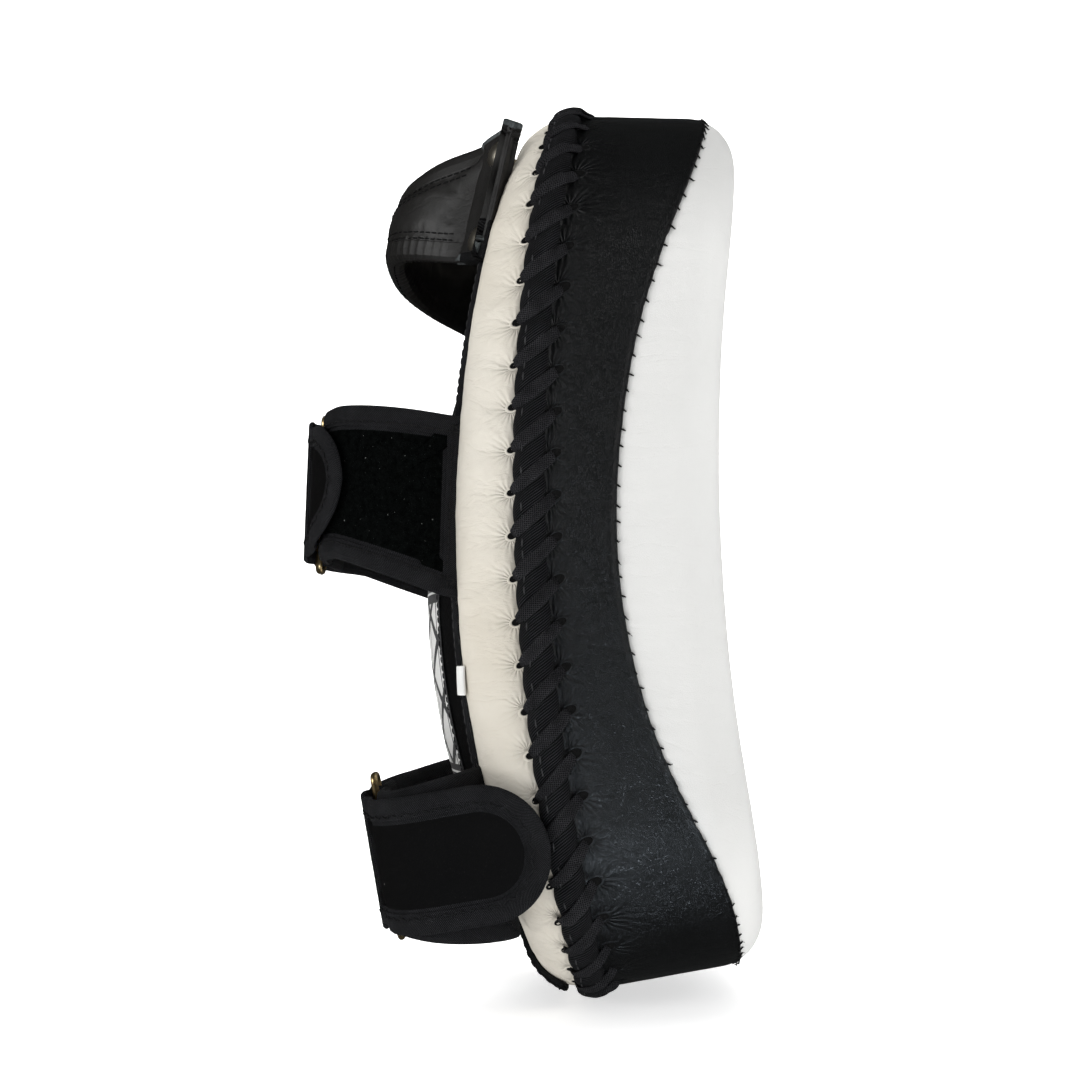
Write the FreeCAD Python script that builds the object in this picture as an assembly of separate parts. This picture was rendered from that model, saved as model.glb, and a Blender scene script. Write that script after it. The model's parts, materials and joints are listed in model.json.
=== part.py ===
"""A curved kick-and-punch pad for pad work: a laced leather body over layered foam,
a riveted hand grip and two hook-and-loop forearm straps with metal loops.

Frame, in millimetres: +X is the way the striking face looks, +Z runs along the pad
towards the hand, Y is across the pad. The origin is on the forearm channel's axis,
midway along the pad.
"""
import FreeCAD
import Part
import math
import os

Vec = FreeCAD.Vector

# ---- driving dimensions: pad body -------------------------------------------------
END_LOW, END_HIGH = -197.0, 198.0     # both ends at the back face
HALF_WIDTH = 97.5
CORNER_R = 80.0
END_TAPER_TOP = 6.5          # how much shorter the front face is, top and bottom
END_TAPER_LOW = 13.0
TAPER_X0, TAPER_X1 = 70.0, 172.0
WALL_X = 100.0               # the side wall's middle
BACK_X, BACK_Z, BACK_R = 44.5, -12.0, 523.0      # back arc: nearest point and radius
FRONT_X, FRONT_Z, FRONT_R = 155.2, -9.0, 820.0   # striking face arc
BACK_FILLET = 24.0
FRONT_FILLET = 21.0
LEATHER = 2.0
FOAM_FRONT, FOAM_CORE, FOAM_FIRM, SHEET = 24.0, 34.0, 24.0, 3.0
SEAM_POINTS = ((-215, 160), (-172, 156), (-150, 150.5), (-118, 137.2), (-86, 123.7),
               (-50, 114.6), (-8, 110.7), (52, 116.4), (92, 126.2), (133, 142.5),
               (160, 153.5), (215, 162))         # z, x of the gusset's front seam
LACE_X, LACE_Z, LACE_R = 76.7, -8.0, 809.0       # lacing line arc
LACE_CORE_HALF, LACE_CORE_RISE = 6.0, 1.2
LACE_PITCH, LACE_ANGLE = 17.3, 41.5
LACE_WIDTH, LACE_THICK, LACE_REACH = 6.5, 1.5, 12.0
LACE_SHIFT = 1.3             # wraps sit this far forward of the core's middle
STITCH_PITCH, STITCH_LEN, STITCH_R = 7.5, 5.0, 0.5
GAP = 0.3

# ---- driving dimensions: arm bed --------------------------------------------------
BED_INSET = 27.5             # from the pad's outline to the arm bed's edge
BED_PANEL = 1.2
TONGUE_T, TONGUE_HALF = 3.0, 48.0    # black facing that wraps the low end, to the lacing
CREST_X, CREST_Z, CREST_R = 29.0, -26.0, 309.0   # arm bed crest arc
CROWN_R = 165.0              # across the pad
COVER = 1.0
LABEL_HALF_W, LABEL_LOW, LABEL_HIGH, LABEL_T = 50.0, -104.0, -12.0, 0.8
BED_BINDING_W, BED_BINDING_T = 5.0, 0.8
TAG_LONG, TAG_HIGH, TAG_T, TAG_FOLD_R = 11.0, 12.0, 0.5, 0.7
TAG_ROOT, TAG_TURN = (43.3, -72.3, -63.0), -75.0      # x, y, z of its foot; its heading from +X

# ---- driving dimensions: hand grip ------------------------------------------------
GRIP_BASE, GRIP_TILT = (67.0, 148.0), 15.0       # x, z of its base; tilt from horizontal
GRIP_PATH = ((-77, -7.0), (-69, -2.5), (-61, 3.0), (-52.5, 12.5), (-43, 24), (-25, 34.5),
             (0, 37.5), (25, 34.5), (43, 24), (52.5, 12.5), (61, 3.0), (69, -2.5), (77, -7.0))
GRIP_TOP = ((-88, 30.5), (-62, 28), (-36, 13.5), (0, 4.5), (36, 8), (62, 18), (88, 20.5))
GRIP_LOW = ((-88, -28), (-62, -28), (-36, -27), (0, -26), (36, -31), (62, -37), (88, -38))
GRIP_SKEW = -10.0            # the far flange sits this much lower along the pad
GRIP_FLANGE_T, GRIP_CREST_T = 5.2, 12.5          # total thickness, at flange and crest
GRIP_LEATHER, GRIP_TAPE_T, GRIP_TAPE_HALF, GRIP_TAPE_CLEAR = 2.0, 0.8, 12.5, 0.2
PATCH_T, PATCH_Y = 2.6, 59.3
RIVET_Y, RIVET_T = 68.0, 19.0
RIVET_HEAD_R, RIVET_HEAD_H, RIVET_SHANK_R = 5.5, 1.8, 1.6
WASHER_R, WASHER_H = 4.5, 1.0

# ---- driving dimensions: straps ---------------------------------------------------
ARM_FACE, ARM_LINING = 1.5, 2.5
TAPE_T, TAPE_W = 0.6, 8.0
TAB_COVER_T, TAB_HOOK_T, TAB_CLEAR = 2.2, 1.2, 2.3
RING_WIRE_R, RING_BARS, RING_LONG, RING_CORNER = 1.6, 13.0, 70.0, 3.2
FOLD_IN, FOLD_T = 3.4, 2.5           # roll of strap round the loop's near bar
KEEPER_T, KEEPER_IN = 2.5, 1.9
FOLD_OPEN_LOW, FOLD_OPEN_HIGH = -40.0, 50.0      # open arc that lets the tab turn

STRAPS = {
    "upper": dict(
        base=(44.9, 15.0), tilt=4.0, ring=(-14.0, 64.0), lean=10.9, half_root=37.5, half_tip=32.0,
        arm=((-75, -8), (-77.5, 4), (-80, 18), (-75, 36), (-62, 50), (-42, 57.5)),
        keeper=((75, -8), (78, 6), (80, 20), (74, 38), (59, 54), (36, 64.5)),
        keeper_inside=(36, 60.5), tab_end=48.0, tab_half=30.5, tab_round=26.0,
        tab_free=()),
    "lower": dict(
        base=(57.2, -127.0), tilt=-8.0, ring=(-36.0, 49.0), lean=2.0, half_root=35.0, half_tip=29.5,
        arm=((-75, -8), (-80, 2), (-88, 12), (-89, 26), (-79, 38), (-60, 43.5)),
        keeper=((75, -8), (79, 6), (78, 22), (64, 38), (36, 48), (6, 51.5)),
        keeper_inside=(14, 46.5), tab_end=-22.0, tab_half=27.0, tab_round=27.0,
        tab_free=((-96.5, 8), (-101, -6), (-103, -26))),
}


# ---- small helpers ----------------------------------------------------------------
def save(shape, name):
    """Writes one node; a node of several pieces is a compound of separate solids."""
    solids = shape.Solids
    if not solids:
        raise RuntimeError(name + " has no solid")
    whole = solids[0] if len(solids) == 1 else Part.makeCompound(solids)
    if not whole.isValid():
        print("warning: invalid", name)
    whole.exportStep("parts/" + name + ".step")
    print(name, len(solids), round(sum(s.Volume for s in solids) / 1000.0, 2), "cm3")


def less(shape, *tools):
    """The shape with each tool cut away wherever the two really meet."""
    for tool in tools:
        if shape.BoundBox.intersect(tool.BoundBox) and shape.common(tool).Volume > 0.001:
            shape = shape.cut(tool)
    return shape


def arc_edge(x_near, z_mid, radius, z_low=-240.0, z_high=240.0):
    """Arc in the XZ plane whose nearest point to -X is (x_near, z_mid)."""
    centre_x = x_near + radius

    def at(z):
        return Vec(centre_x - math.sqrt(radius ** 2 - (z - z_mid) ** 2), 0, z)
    return Part.Arc(at(z_low), at(z_mid), at(z_high)).toShape()


def arc_x(z, x_near, z_mid, radius):
    """x of that arc at height z."""
    return x_near + radius - math.sqrt(radius ** 2 - (z - z_mid) ** 2)


def region(edge_a, edge_b, half_depth=140.0):
    """Solid between two XZ edges that both run upwards, extruded across the pad."""
    a0, a1 = edge_a.Vertexes[0].Point, edge_a.Vertexes[-1].Point
    b0, b1 = edge_b.Vertexes[0].Point, edge_b.Vertexes[-1].Point
    wire = Part.Wire(Part.__sortEdges__([edge_a, Part.makeLine(a1, b1), edge_b, Part.makeLine(b0, a0)]))
    face = Part.Face(wire)
    face.translate(Vec(0, -half_depth, 0))
    return face.extrude(Vec(0, 2 * half_depth, 0))


def straight(x, z_low=-240.0, z_high=240.0):
    return Part.makeLine(Vec(x, 0, z_low), Vec(x, 0, z_high))


def spline_edge(points):
    curve = Part.BSplineCurve()
    curve.interpolate(points)
    return curve.toShape()


def outline_limits(x):
    """Lowest and highest z of the pad's outline at x."""
    share = (x - TAPER_X0) / (TAPER_X1 - TAPER_X0)
    return END_LOW + share * END_TAPER_LOW, END_HIGH - share * END_TAPER_TOP


def outline_wire(x, inset):
    """Rounded rectangle in the plane at x, inset from the pad's outline."""
    low, high = outline_limits(x)
    low, high, w, r = low + inset, high - inset, HALF_WIDTH - inset, CORNER_R - inset
    c = r * (1 - math.sqrt(0.5))
    corners = (
        (Vec(x, w, high - r), Vec(x, w - c, high - c), Vec(x, w - r, high)),
        (Vec(x, -w + r, high), Vec(x, -w + c, high - c), Vec(x, -w, high - r)),
        (Vec(x, -w, low + r), Vec(x, -w + c, low + c), Vec(x, -w + r, low)),
        (Vec(x, w - r, low), Vec(x, w - c, low + c), Vec(x, w, low + r)),
    )
    edges = []
    for i, corner in enumerate(corners):
        edges.append(Part.Arc(*corner).toShape())
        edges.append(Part.makeLine(corner[2], corners[(i + 1) % 4][0]))
    return Part.Wire(edges)


def pad_solid(inset):
    """The pad's body, every face moved in by inset."""
    x_low, x_high = -20.0, 230.0
    prism = Part.makeLoft([outline_wire(x_low, inset), outline_wire(x_high, inset)], True, True)
    back = arc_edge(BACK_X + inset, BACK_Z, BACK_R - inset)
    front = arc_edge(FRONT_X - inset, FRONT_Z, FRONT_R + inset)
    solid = prism.common(region(back, front)).Solids[0]
    for near_x, z_mid, radius, fillet in (
            (BACK_X + inset, BACK_Z, BACK_R - inset, BACK_FILLET - inset),
            (FRONT_X - inset, FRONT_Z, FRONT_R + inset, FRONT_FILLET - inset)):
        rim = []
        for edge in solid.Edges:
            p = edge.valueAt((edge.FirstParameter + edge.LastParameter) / 2)
            ends = [v.Point for v in edge.Vertexes] + [p]
            if all(abs(q.x - arc_x(q.z, near_x, z_mid, radius)) < 0.01 for q in ends):
                rim.append(edge)
        solid = solid.makeFillet(fillet, rim)
    return solid


def perimeter(x_of_z, pitch):
    """Evenly spaced frames round the pad's side wall: point, outward normal, tangent."""
    dense = []
    low, high = outline_limits(WALL_X)
    w, r = HALF_WIDTH, CORNER_R
    centres = ((w - r, high - r, 0), (-(w - r), high - r, 90), (-(w - r), low + r, 180), (w - r, low + r, 270))
    for i, (cy, cz, start) in enumerate(centres):
        for step in range(120):
            angle = math.radians(start + 90.0 * step / 120)
            n = Vec(0, math.cos(angle), math.sin(angle))
            dense.append((cy + r * n.y, cz + r * n.z, n))
        ny, nz = centres[(i + 1) % 4][:2]
        end = math.radians(start + 90)
        n = Vec(0, math.cos(end), math.sin(end))
        a = (cy + r * n.y, cz + r * n.z)
        b = (ny + r * n.y, nz + r * n.z)
        for step in range(200):
            share = step / 200
            dense.append((a[0] + (b[0] - a[0]) * share, a[1] + (b[1] - a[1]) * share, n))
    points = []
    for y, z, n in dense:
        px = x_of_z(z)
        shift = outline_limits(px)[1] - high if z > 0 else outline_limits(px)[0] - low
        weight = max(0.0, min(1.0, (abs(z) - (END_HIGH - CORNER_R)) / CORNER_R))
        points.append((Vec(px, y, z + shift * weight), n))
    lengths = [0.0]
    for i in range(len(points)):
        lengths.append(lengths[-1] + points[(i + 1) % len(points)][0].distanceToPoint(points[i][0]))
    count = int(round(lengths[-1] / pitch))
    frames, k = [], 0
    for j in range(count):
        target = lengths[-1] * j / count
        while lengths[k + 1] < target:
            k += 1
        here, n = points[k]
        ahead = points[(k + 1) % len(points)][0] - here
        tangent = ahead - n * ahead.dot(n)
        frames.append((here, n, tangent.normalize()))
    return frames


def seat(shape, point, normal, tangent, turn=0.0):
    """A copy of a shape made about the origin, its +Z on normal and its +Y along tangent."""
    across = tangent.cross(normal)
    copy = shape.copy()
    copy.rotate(Vec(0, 0, 0), Vec(0, 0, 1), turn)
    m = FreeCAD.Matrix(across.x, tangent.x, normal.x, point.x,
                       across.y, tangent.y, normal.y, point.y,
                       across.z, tangent.z, normal.z, point.z, 0, 0, 0, 1)
    copy.transformShape(m, True)
    return copy


# ---- pad body ---------------------------------------------------------------------
def lace_x(z):
    return arc_x(z, LACE_X, LACE_Z, LACE_R)


def body_parts(outer, inner):
    """Leather covers, foam layers, lacing and seam stitching."""
    shell = outer.cut(inner)
    seam = spline_edge([Vec(x, 0, z) for z, x in SEAM_POINTS])
    seam_low, seam_high = SEAM_POINTS[0][0], SEAM_POINTS[-1][0]
    lace_back = arc_edge(LACE_X - LACE_CORE_HALF, LACE_Z, LACE_R)
    lace_front = arc_edge(LACE_X + LACE_CORE_HALF, LACE_Z, LACE_R)
    save(shell.common(region(seam, straight(260.0, seam_low, seam_high))), "front_panel")
    gusset = shell.common(region(lace_front, straight(200.0)))
    save(gusset.common(region(straight(20.0, seam_low, seam_high), seam)), "side_gusset")
    back_panel = shell.common(region(straight(-60.0), lace_back))

    proud = pad_solid(-LACE_CORE_RISE)
    core = proud.cut(inner).common(region(lace_back, lace_front))
    save(core, "lace_core")
    save(lace_cord(proud.common(region(lace_back, lace_front)), outer, back_panel), "lace_cord")
    save(seam_stitches(seam, outer), "seam_stitching")

    layers = (("impact_foam", 0.0, FOAM_FRONT), ("core_foam", FOAM_FRONT, FOAM_CORE),
              ("firm_foam", FOAM_FRONT + FOAM_CORE, FOAM_FIRM),
              ("spreader_sheet", FOAM_FRONT + FOAM_CORE + FOAM_FIRM, SHEET),
              ("back_foam", FOAM_FRONT + FOAM_CORE + FOAM_FIRM + SHEET, 200.0))
    for name, depth, thick in layers:
        front = arc_edge(FRONT_X - LEATHER - depth, FRONT_Z, FRONT_R + LEATHER + depth)
        rear = arc_edge(FRONT_X - LEATHER - depth - thick, FRONT_Z, FRONT_R + LEATHER + depth + thick)
        if name == "impact_foam":
            front = straight(260.0)
        layer = inner.common(region(rear, front))
        if name == "back_foam":
            back_foam = layer
        else:
            save(layer, name)
    return back_panel, back_foam


def lace_cord(core, outer, back_panel):
    """Diagonal wraps of flat cord over the lacing core, trimmed where they meet the leather."""
    half = LACE_REACH
    top = LACE_CORE_RISE + GAP + LACE_THICK
    outer = Part.makeBox(2 * half, LACE_WIDTH, top - GAP, Vec(-half, -LACE_WIDTH / 2, GAP))
    inner = Part.makeBox(2 * (half - LACE_THICK), LACE_WIDTH, top - LACE_THICK,
                         Vec(-half + LACE_THICK, -LACE_WIDTH / 2, 0))
    wrap = outer.cut(inner)
    shoulders = [e for e in wrap.Edges
                 if all(abs(abs(v.X) - half) < 0.01 and abs(v.Z - top) < 0.01 for v in e.Vertexes)]
    wrap = wrap.makeFillet(LACE_THICK * 0.8, shoulders)
    frames = perimeter(lambda z: lace_x(z) + LACE_SHIFT, LACE_PITCH)
    wraps = [seat(wrap, p, n, t, LACE_ANGLE) for p, n, t in frames]
    return Part.makeCompound([less(w, core, outer, back_panel) for w in wraps])


def seam_stitches(seam, outer):
    """Whip stitches across the gusset's front seam."""
    curve = seam.Curve

    def seam_x(z):
        return curve.value(curve.parameter(Vec(curve.value(curve.parameter(Vec(130, 0, z))).x, 0, z))).x
    stitch = Part.makeCylinder(STITCH_R, STITCH_LEN, Vec(-STITCH_LEN / 2, 0, STITCH_R + 0.1), Vec(1, 0, 0))
    made = []
    for p, n, t in perimeter(seam_x, STITCH_PITCH):
        probe = Part.Vertex(p + n * 3)
        on_surface = outer.distToShape(probe)[1][0][0]
        away = (probe.Point - on_surface).normalize()
        tangent = (t - away * t.dot(away)).normalize()
        made.append(seat(stitch, on_surface, away, tangent))
    return Part.makeCompound(made)


# ---- arm bed ----------------------------------------------------------------------
def crown_solid(extra):
    """Everything behind the arm bed's doubly curved face, moved out by extra."""
    radius, crown = CREST_R + extra, CROWN_R + extra
    axis_x = CREST_X + CREST_R
    half = HALF_WIDTH

    def at(y):
        return Vec(axis_x - radius + crown - math.sqrt(crown ** 2 - y ** 2), y, CREST_Z)
    top = Part.Arc(at(-half), at(0), at(half)).toShape()
    corners = [Vec(axis_x - 40, half, CREST_Z), Vec(axis_x - 40, -half, CREST_Z)]
    wire = Part.Wire([top, Part.makeLine(at(half), corners[0]), Part.makeLine(*corners),
                      Part.makeLine(corners[1], at(-half))])
    face = Part.Face(wire)
    face.rotate(Vec(axis_x, 0, CREST_Z), Vec(0, 1, 0), -50)
    return face.revolve(Vec(axis_x, 0, CREST_Z), Vec(0, 1, 0), 100)


def bed_prism(inset):
    return Part.makeLoft([outline_wire(-20.0, inset), outline_wire(120.0, inset)], True, True)


def bed_solid(extra, inset):
    """The arm bed's envelope: a thin panel over the back with the crown rising from it."""
    panel = region(arc_edge(BACK_X - BED_PANEL - extra, BACK_Z, BACK_R + BED_PANEL + extra), straight(120.0))
    return crown_solid(extra).fuse(panel).common(bed_prism(inset))


def arm_bed_parts(outer):
    bed = bed_solid(0.0, BED_INSET).cut(outer)
    hollow = bed_solid(-COVER, BED_INSET + COVER).cut(outer)
    label_zone = Part.makeBox(80, 2 * LABEL_HALF_W, LABEL_HIGH - LABEL_LOW, Vec(0, -LABEL_HALF_W, LABEL_LOW))
    label = crown_solid(LABEL_T).cut(crown_solid(0.0)).cut(bed).cut(outer).common(label_zone)
    rim = bed_solid(BED_BINDING_T, BED_INSET - 1.0).cut(bed_solid(BED_BINDING_T + 1, BED_INSET + BED_BINDING_W))
    rim = rim.cut(bed).cut(outer)
    cover = bed.cut(hollow)
    foam = hollow.common(crown_solid(-COVER))
    wrap = pad_solid(-TONGUE_T).cut(outer)
    reach = arc_edge(LACE_X - LACE_REACH - 1.0, LACE_Z, LACE_R)
    tongue_zone = Part.makeBox(200, 2 * TONGUE_HALF, 60, Vec(0, -TONGUE_HALF, END_LOW - 10))
    tongue = wrap.common(region(straight(-60.0), reach)).common(tongue_zone).cut(bed_prism(BED_INSET - 1.5))
    return bed, cover, foam, label, rim, tongue


def side_tag():
    """Small woven tag, folded double, that lies from the arm bed's seam over the roll."""
    long, high, outer_r, inner_r = TAG_LONG, TAG_HIGH, TAG_FOLD_R, TAG_FOLD_R - TAG_T
    leaf = Part.makeBox(long, TAG_T, high, Vec(0, 0, 0))
    other = Part.makeBox(long, TAG_T, high, Vec(0, 2 * outer_r - TAG_T, 0))
    turn = Vec(long, outer_r, 0)
    bend = Part.makeCylinder(outer_r, high, turn).cut(Part.makeCylinder(inner_r, high, turn))
    bend = bend.common(Part.makeBox(outer_r, 2 * outer_r, high, Vec(long, 0, 0)))
    tag = leaf.fuse(other).fuse(bend).removeSplitter()
    tag.rotate(Vec(0, 0, 0), Vec(0, 0, 1), TAG_TURN)
    tag.translate(Vec(*TAG_ROOT))
    return tag


# ---- bands of leather and webbing -------------------------------------------------
def band_points(path, offset, samples=28):
    """Points beside a smooth path in the (y, n) plane, offset to its left side."""
    curve = Part.BSplineCurve()
    curve.interpolate([Vec(y, n, 0) for y, n in path])
    first, last = curve.FirstParameter, curve.LastParameter
    out = []
    for i in range(samples + 1):
        share = i / samples
        u = first + (last - first) * share
        tangent = curve.tangent(u)[0]
        left = Vec(-tangent.y, tangent.x, 0)
        out.append(curve.value(u) + left * (offset(share) if callable(offset) else offset))
    return out


def band(path, offset_a, offset_b, half=60.0):
    """Solid strip between two offsets of a path, running along the pad by half each way.
    Local frame: -X is away from the pad, Z is along it."""
    def lift(points):
        return [Vec(-p.y, p.x, -half) for p in points]
    a, b = lift(band_points(path, offset_a)), lift(band_points(path, offset_b))
    edge_a, edge_b = spline_edge(a), spline_edge(b)
    wire = Part.Wire(Part.__sortEdges__([edge_a, Part.makeLine(a[-1], b[-1]), edge_b, Part.makeLine(b[0], a[0])]))
    return Part.Face(wire).extrude(Vec(0, 0, 2 * half))


def placed(shape, base, tilt):
    """Moves a shape from the local frame of a strap or grip to the pad's frame."""
    copy = shape.copy()
    copy.rotate(Vec(0, 0, 0), Vec(0, 1, 0), tilt)
    copy.translate(Vec(base[0], 0, base[1]))
    return copy


def ring_shell(centre, r_in, r_out, from_deg, to_deg, half, lean):
    """Part of a tube about an axis along the pad; angles from +Y towards -X."""
    y, n = centre
    tube = Part.makeCylinder(r_out, 2 * half, Vec(0, 0, -half)).cut(Part.makeCylinder(r_in, 2 * half, Vec(0, 0, -half)))
    far = 4 * r_out
    steps = max(2, int(abs(to_deg - from_deg) / 30) + 1)
    corners = [Vec(0, 0, -half)]
    for i in range(steps + 1):
        angle = math.radians(from_deg + (to_deg - from_deg) * i / steps)
        corners.append(Vec(-far * math.sin(angle), far * math.cos(angle), -half))
    corners.append(corners[0])
    wedge = Part.Face(Part.makePolygon(corners)).extrude(Vec(0, 0, 2 * half))
    shell = tube.common(wedge)
    shell.translate(Vec(-n, y, lean))
    return shell


# ---- hand grip --------------------------------------------------------------------
def grip_outline(inset):
    """Waisted plan of the grip, as a prism through its whole height."""
    top = [Vec(60, y, t - inset) for y, t in GRIP_TOP]
    low = [Vec(60, y, t + inset) for y, t in GRIP_LOW]
    a, b = spline_edge(top), spline_edge(low)
    wire = Part.Wire(Part.__sortEdges__([a, Part.makeLine(top[-1], low[-1]), b, Part.makeLine(low[0], top[0])]))
    return Part.Face(wire).extrude(Vec(-160, 0, 0))


def grip_thickness(share):
    """Total thickness along the grip: thin at both flanges, padded between."""
    from_end = min(share, 1 - share)
    ramp = max(0.0, min(1.0, (from_end - 0.17) / 0.22))
    smooth = ramp * ramp * (3 - 2 * ramp)
    return GRIP_FLANGE_T + (GRIP_CREST_T - GRIP_FLANGE_T) * smooth


def grip_parts(outer, bed, back_panel, back_foam):
    """Cover, padding, lining, tape, edge bindings, base patches and rivets."""
    def lifted(amount):
        return lambda share: grip_thickness(share) - amount
    plan = grip_outline(0.0)
    inner_plan = grip_outline(5.0)
    lining = band(GRIP_PATH, 0.0, GRIP_LEATHER).common(plan)
    cover = band(GRIP_PATH, lifted(GRIP_LEATHER), grip_thickness).common(plan)
    between = band(GRIP_PATH, GRIP_LEATHER, lifted(GRIP_LEATHER))
    tape_prism = Part.makeBox(160, 180, 2 * GRIP_TAPE_HALF, Vec(-100, -90, GRIP_SKEW - GRIP_TAPE_HALF))
    tape_foot = GRIP_LEATHER + GRIP_TAPE_CLEAR
    tape = band(GRIP_PATH, tape_foot, tape_foot + GRIP_TAPE_T).common(tape_prism)
    tape = tape.common(grip_outline(TAPE_W + GAP))
    padded = Part.makeBox(160, 106, 80, Vec(-100, -53, -40))
    foam = between.common(inner_plan).common(padded).cut(tape)
    edge_zone = Part.makeBox(160, 118, 80, Vec(-100, -59, -40))
    wide_plan, narrow_plan = grip_outline(-TAPE_T), grip_outline(TAPE_W)
    edge = band(GRIP_PATH, -TAPE_T, lambda s: grip_thickness(s) + TAPE_T).common(wide_plan)
    edge = edge.cut(narrow_plan).common(edge_zone).cut(lining).cut(cover).cut(foam)
    edges = sorted(edge.Solids, key=lambda solid: solid.CenterOfMass.z)
    patch = band(GRIP_PATH, -GAP - PATCH_T, -GAP).common(plan)
    patch = patch.cut(Part.makeBox(160, 2 * PATCH_Y, 80, Vec(-100, -PATCH_Y, -40)))
    patches = less(placed(patch, GRIP_BASE, GRIP_TILT), outer, bed)

    parts = {"grip_lining": lining, "grip_cover": cover, "grip_tape": tape, "grip_foam": foam,
             "grip_edge_low": edges[0], "grip_edge_high": edges[-1]}
    parts = {k: less(placed(v, GRIP_BASE, GRIP_TILT), outer, bed) for k, v in parts.items()}

    rivets, washers = [], []
    points = band_points(GRIP_PATH, grip_thickness, 200)
    for side in (-1, 1):
        near = min(points, key=lambda p: abs(p.x - side * RIVET_Y))
        after = points[min(points.index(near) + 1, 200)]
        run = (after - near).normalize()
        out = Vec(-run.y, run.x, 0)
        skew = 0.0 if side < 0 else GRIP_SKEW
        for t in (skew - RIVET_T, skew + RIVET_T):
            foot = Vec(-near.y, near.x, t)
            axis = Vec(-out.y, out.x, 0)
            head = Part.makeSphere(9.3, foot - axis * (9.3 - RIVET_HEAD_H), axis)
            head = head.common(Part.makeCylinder(RIVET_HEAD_R, RIVET_HEAD_H, foot, axis))
            shank = Part.makeCylinder(RIVET_SHANK_R, 18.0, foot - axis * 18.0, axis)
            washer = Part.makeCylinder(WASHER_R, WASHER_H, foot - axis * 17.0, axis)
            rivets.append(placed(head.fuse(shank), GRIP_BASE, GRIP_TILT))
            washers.append(placed(washer, GRIP_BASE, GRIP_TILT))
    rivet_group, washer_group = Part.makeCompound(rivets), Part.makeCompound(washers)
    washer_group = washer_group.cut(rivet_group)
    for name in parts:
        if name in ("grip_lining", "grip_cover", "grip_tape"):
            parts[name] = parts[name].cut(rivet_group)
    parts["grip_patches"] = patches.cut(rivet_group)
    back_panel = back_panel.cut(rivet_group).cut(washer_group)
    back_foam = back_foam.cut(rivet_group).cut(washer_group)
    parts["grip_rivets"], parts["grip_washers"] = rivet_group, washer_group
    return parts, back_panel, back_foam, rivet_group


# ---- forearm straps ---------------------------------------------------------------
def arm_plan(spec, grow, y_from, y_to):
    """Tapered strap outline seen from the side: breadth falls from root to tip, and the
    tip sits further along the pad than the root by lean."""
    root, tip = spec["half_root"] + grow, spec["half_tip"] + grow
    height, lean = spec["ring"][1], spec["lean"]
    n_low, n_tip, n_high = -12.0, height * 0.8, height + 20
    wide = root + (root - tip) * 12.0 / n_tip
    back = -lean * 12.0 / n_tip
    corners = [(n_low, back - wide), (n_tip, lean - tip), (n_high, lean - tip),
               (n_high, lean + tip), (n_tip, lean + tip), (n_low, back + wide)]
    points = [Vec(-n, y_from, t) for n, t in corners]
    return Part.Face(Part.makePolygon(points + points[:1])).extrude(Vec(0, y_to - y_from, 0))


def tab_plan(spec, grow):
    """Tab outline from the side: straight edges and a round end."""
    end, half, round_len = spec["tab_end"], spec["tab_half"], spec["tab_round"]
    half, end = half + grow, end - grow
    centre = end + round_len
    tip = Part.Arc(Vec(-centre, 0, -half), Vec(-end, 0, 0), Vec(-centre, 0, half)).toShape() \
        if abs(round_len - half) < 6 else spline_edge(
            [Vec(-centre, 0, -half), Vec(-(end + round_len * 0.24), 0, -half * 0.72), Vec(-end, 0, 0),
             Vec(-(end + round_len * 0.24), 0, half * 0.72), Vec(-centre, 0, half)])
    high = 110.0
    lines = [Part.makeLine(Vec(-centre, 0, half), Vec(-high, 0, half)),
             Part.makeLine(Vec(-high, 0, half), Vec(-high, 0, -half)),
             Part.makeLine(Vec(-high, 0, -half), Vec(-centre, 0, -half))]
    face = Part.Face(Part.Wire([tip] + lines))
    face.translate(Vec(0, -130, spec["lean"]))
    return face.extrude(Vec(0, 260, 0))


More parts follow.
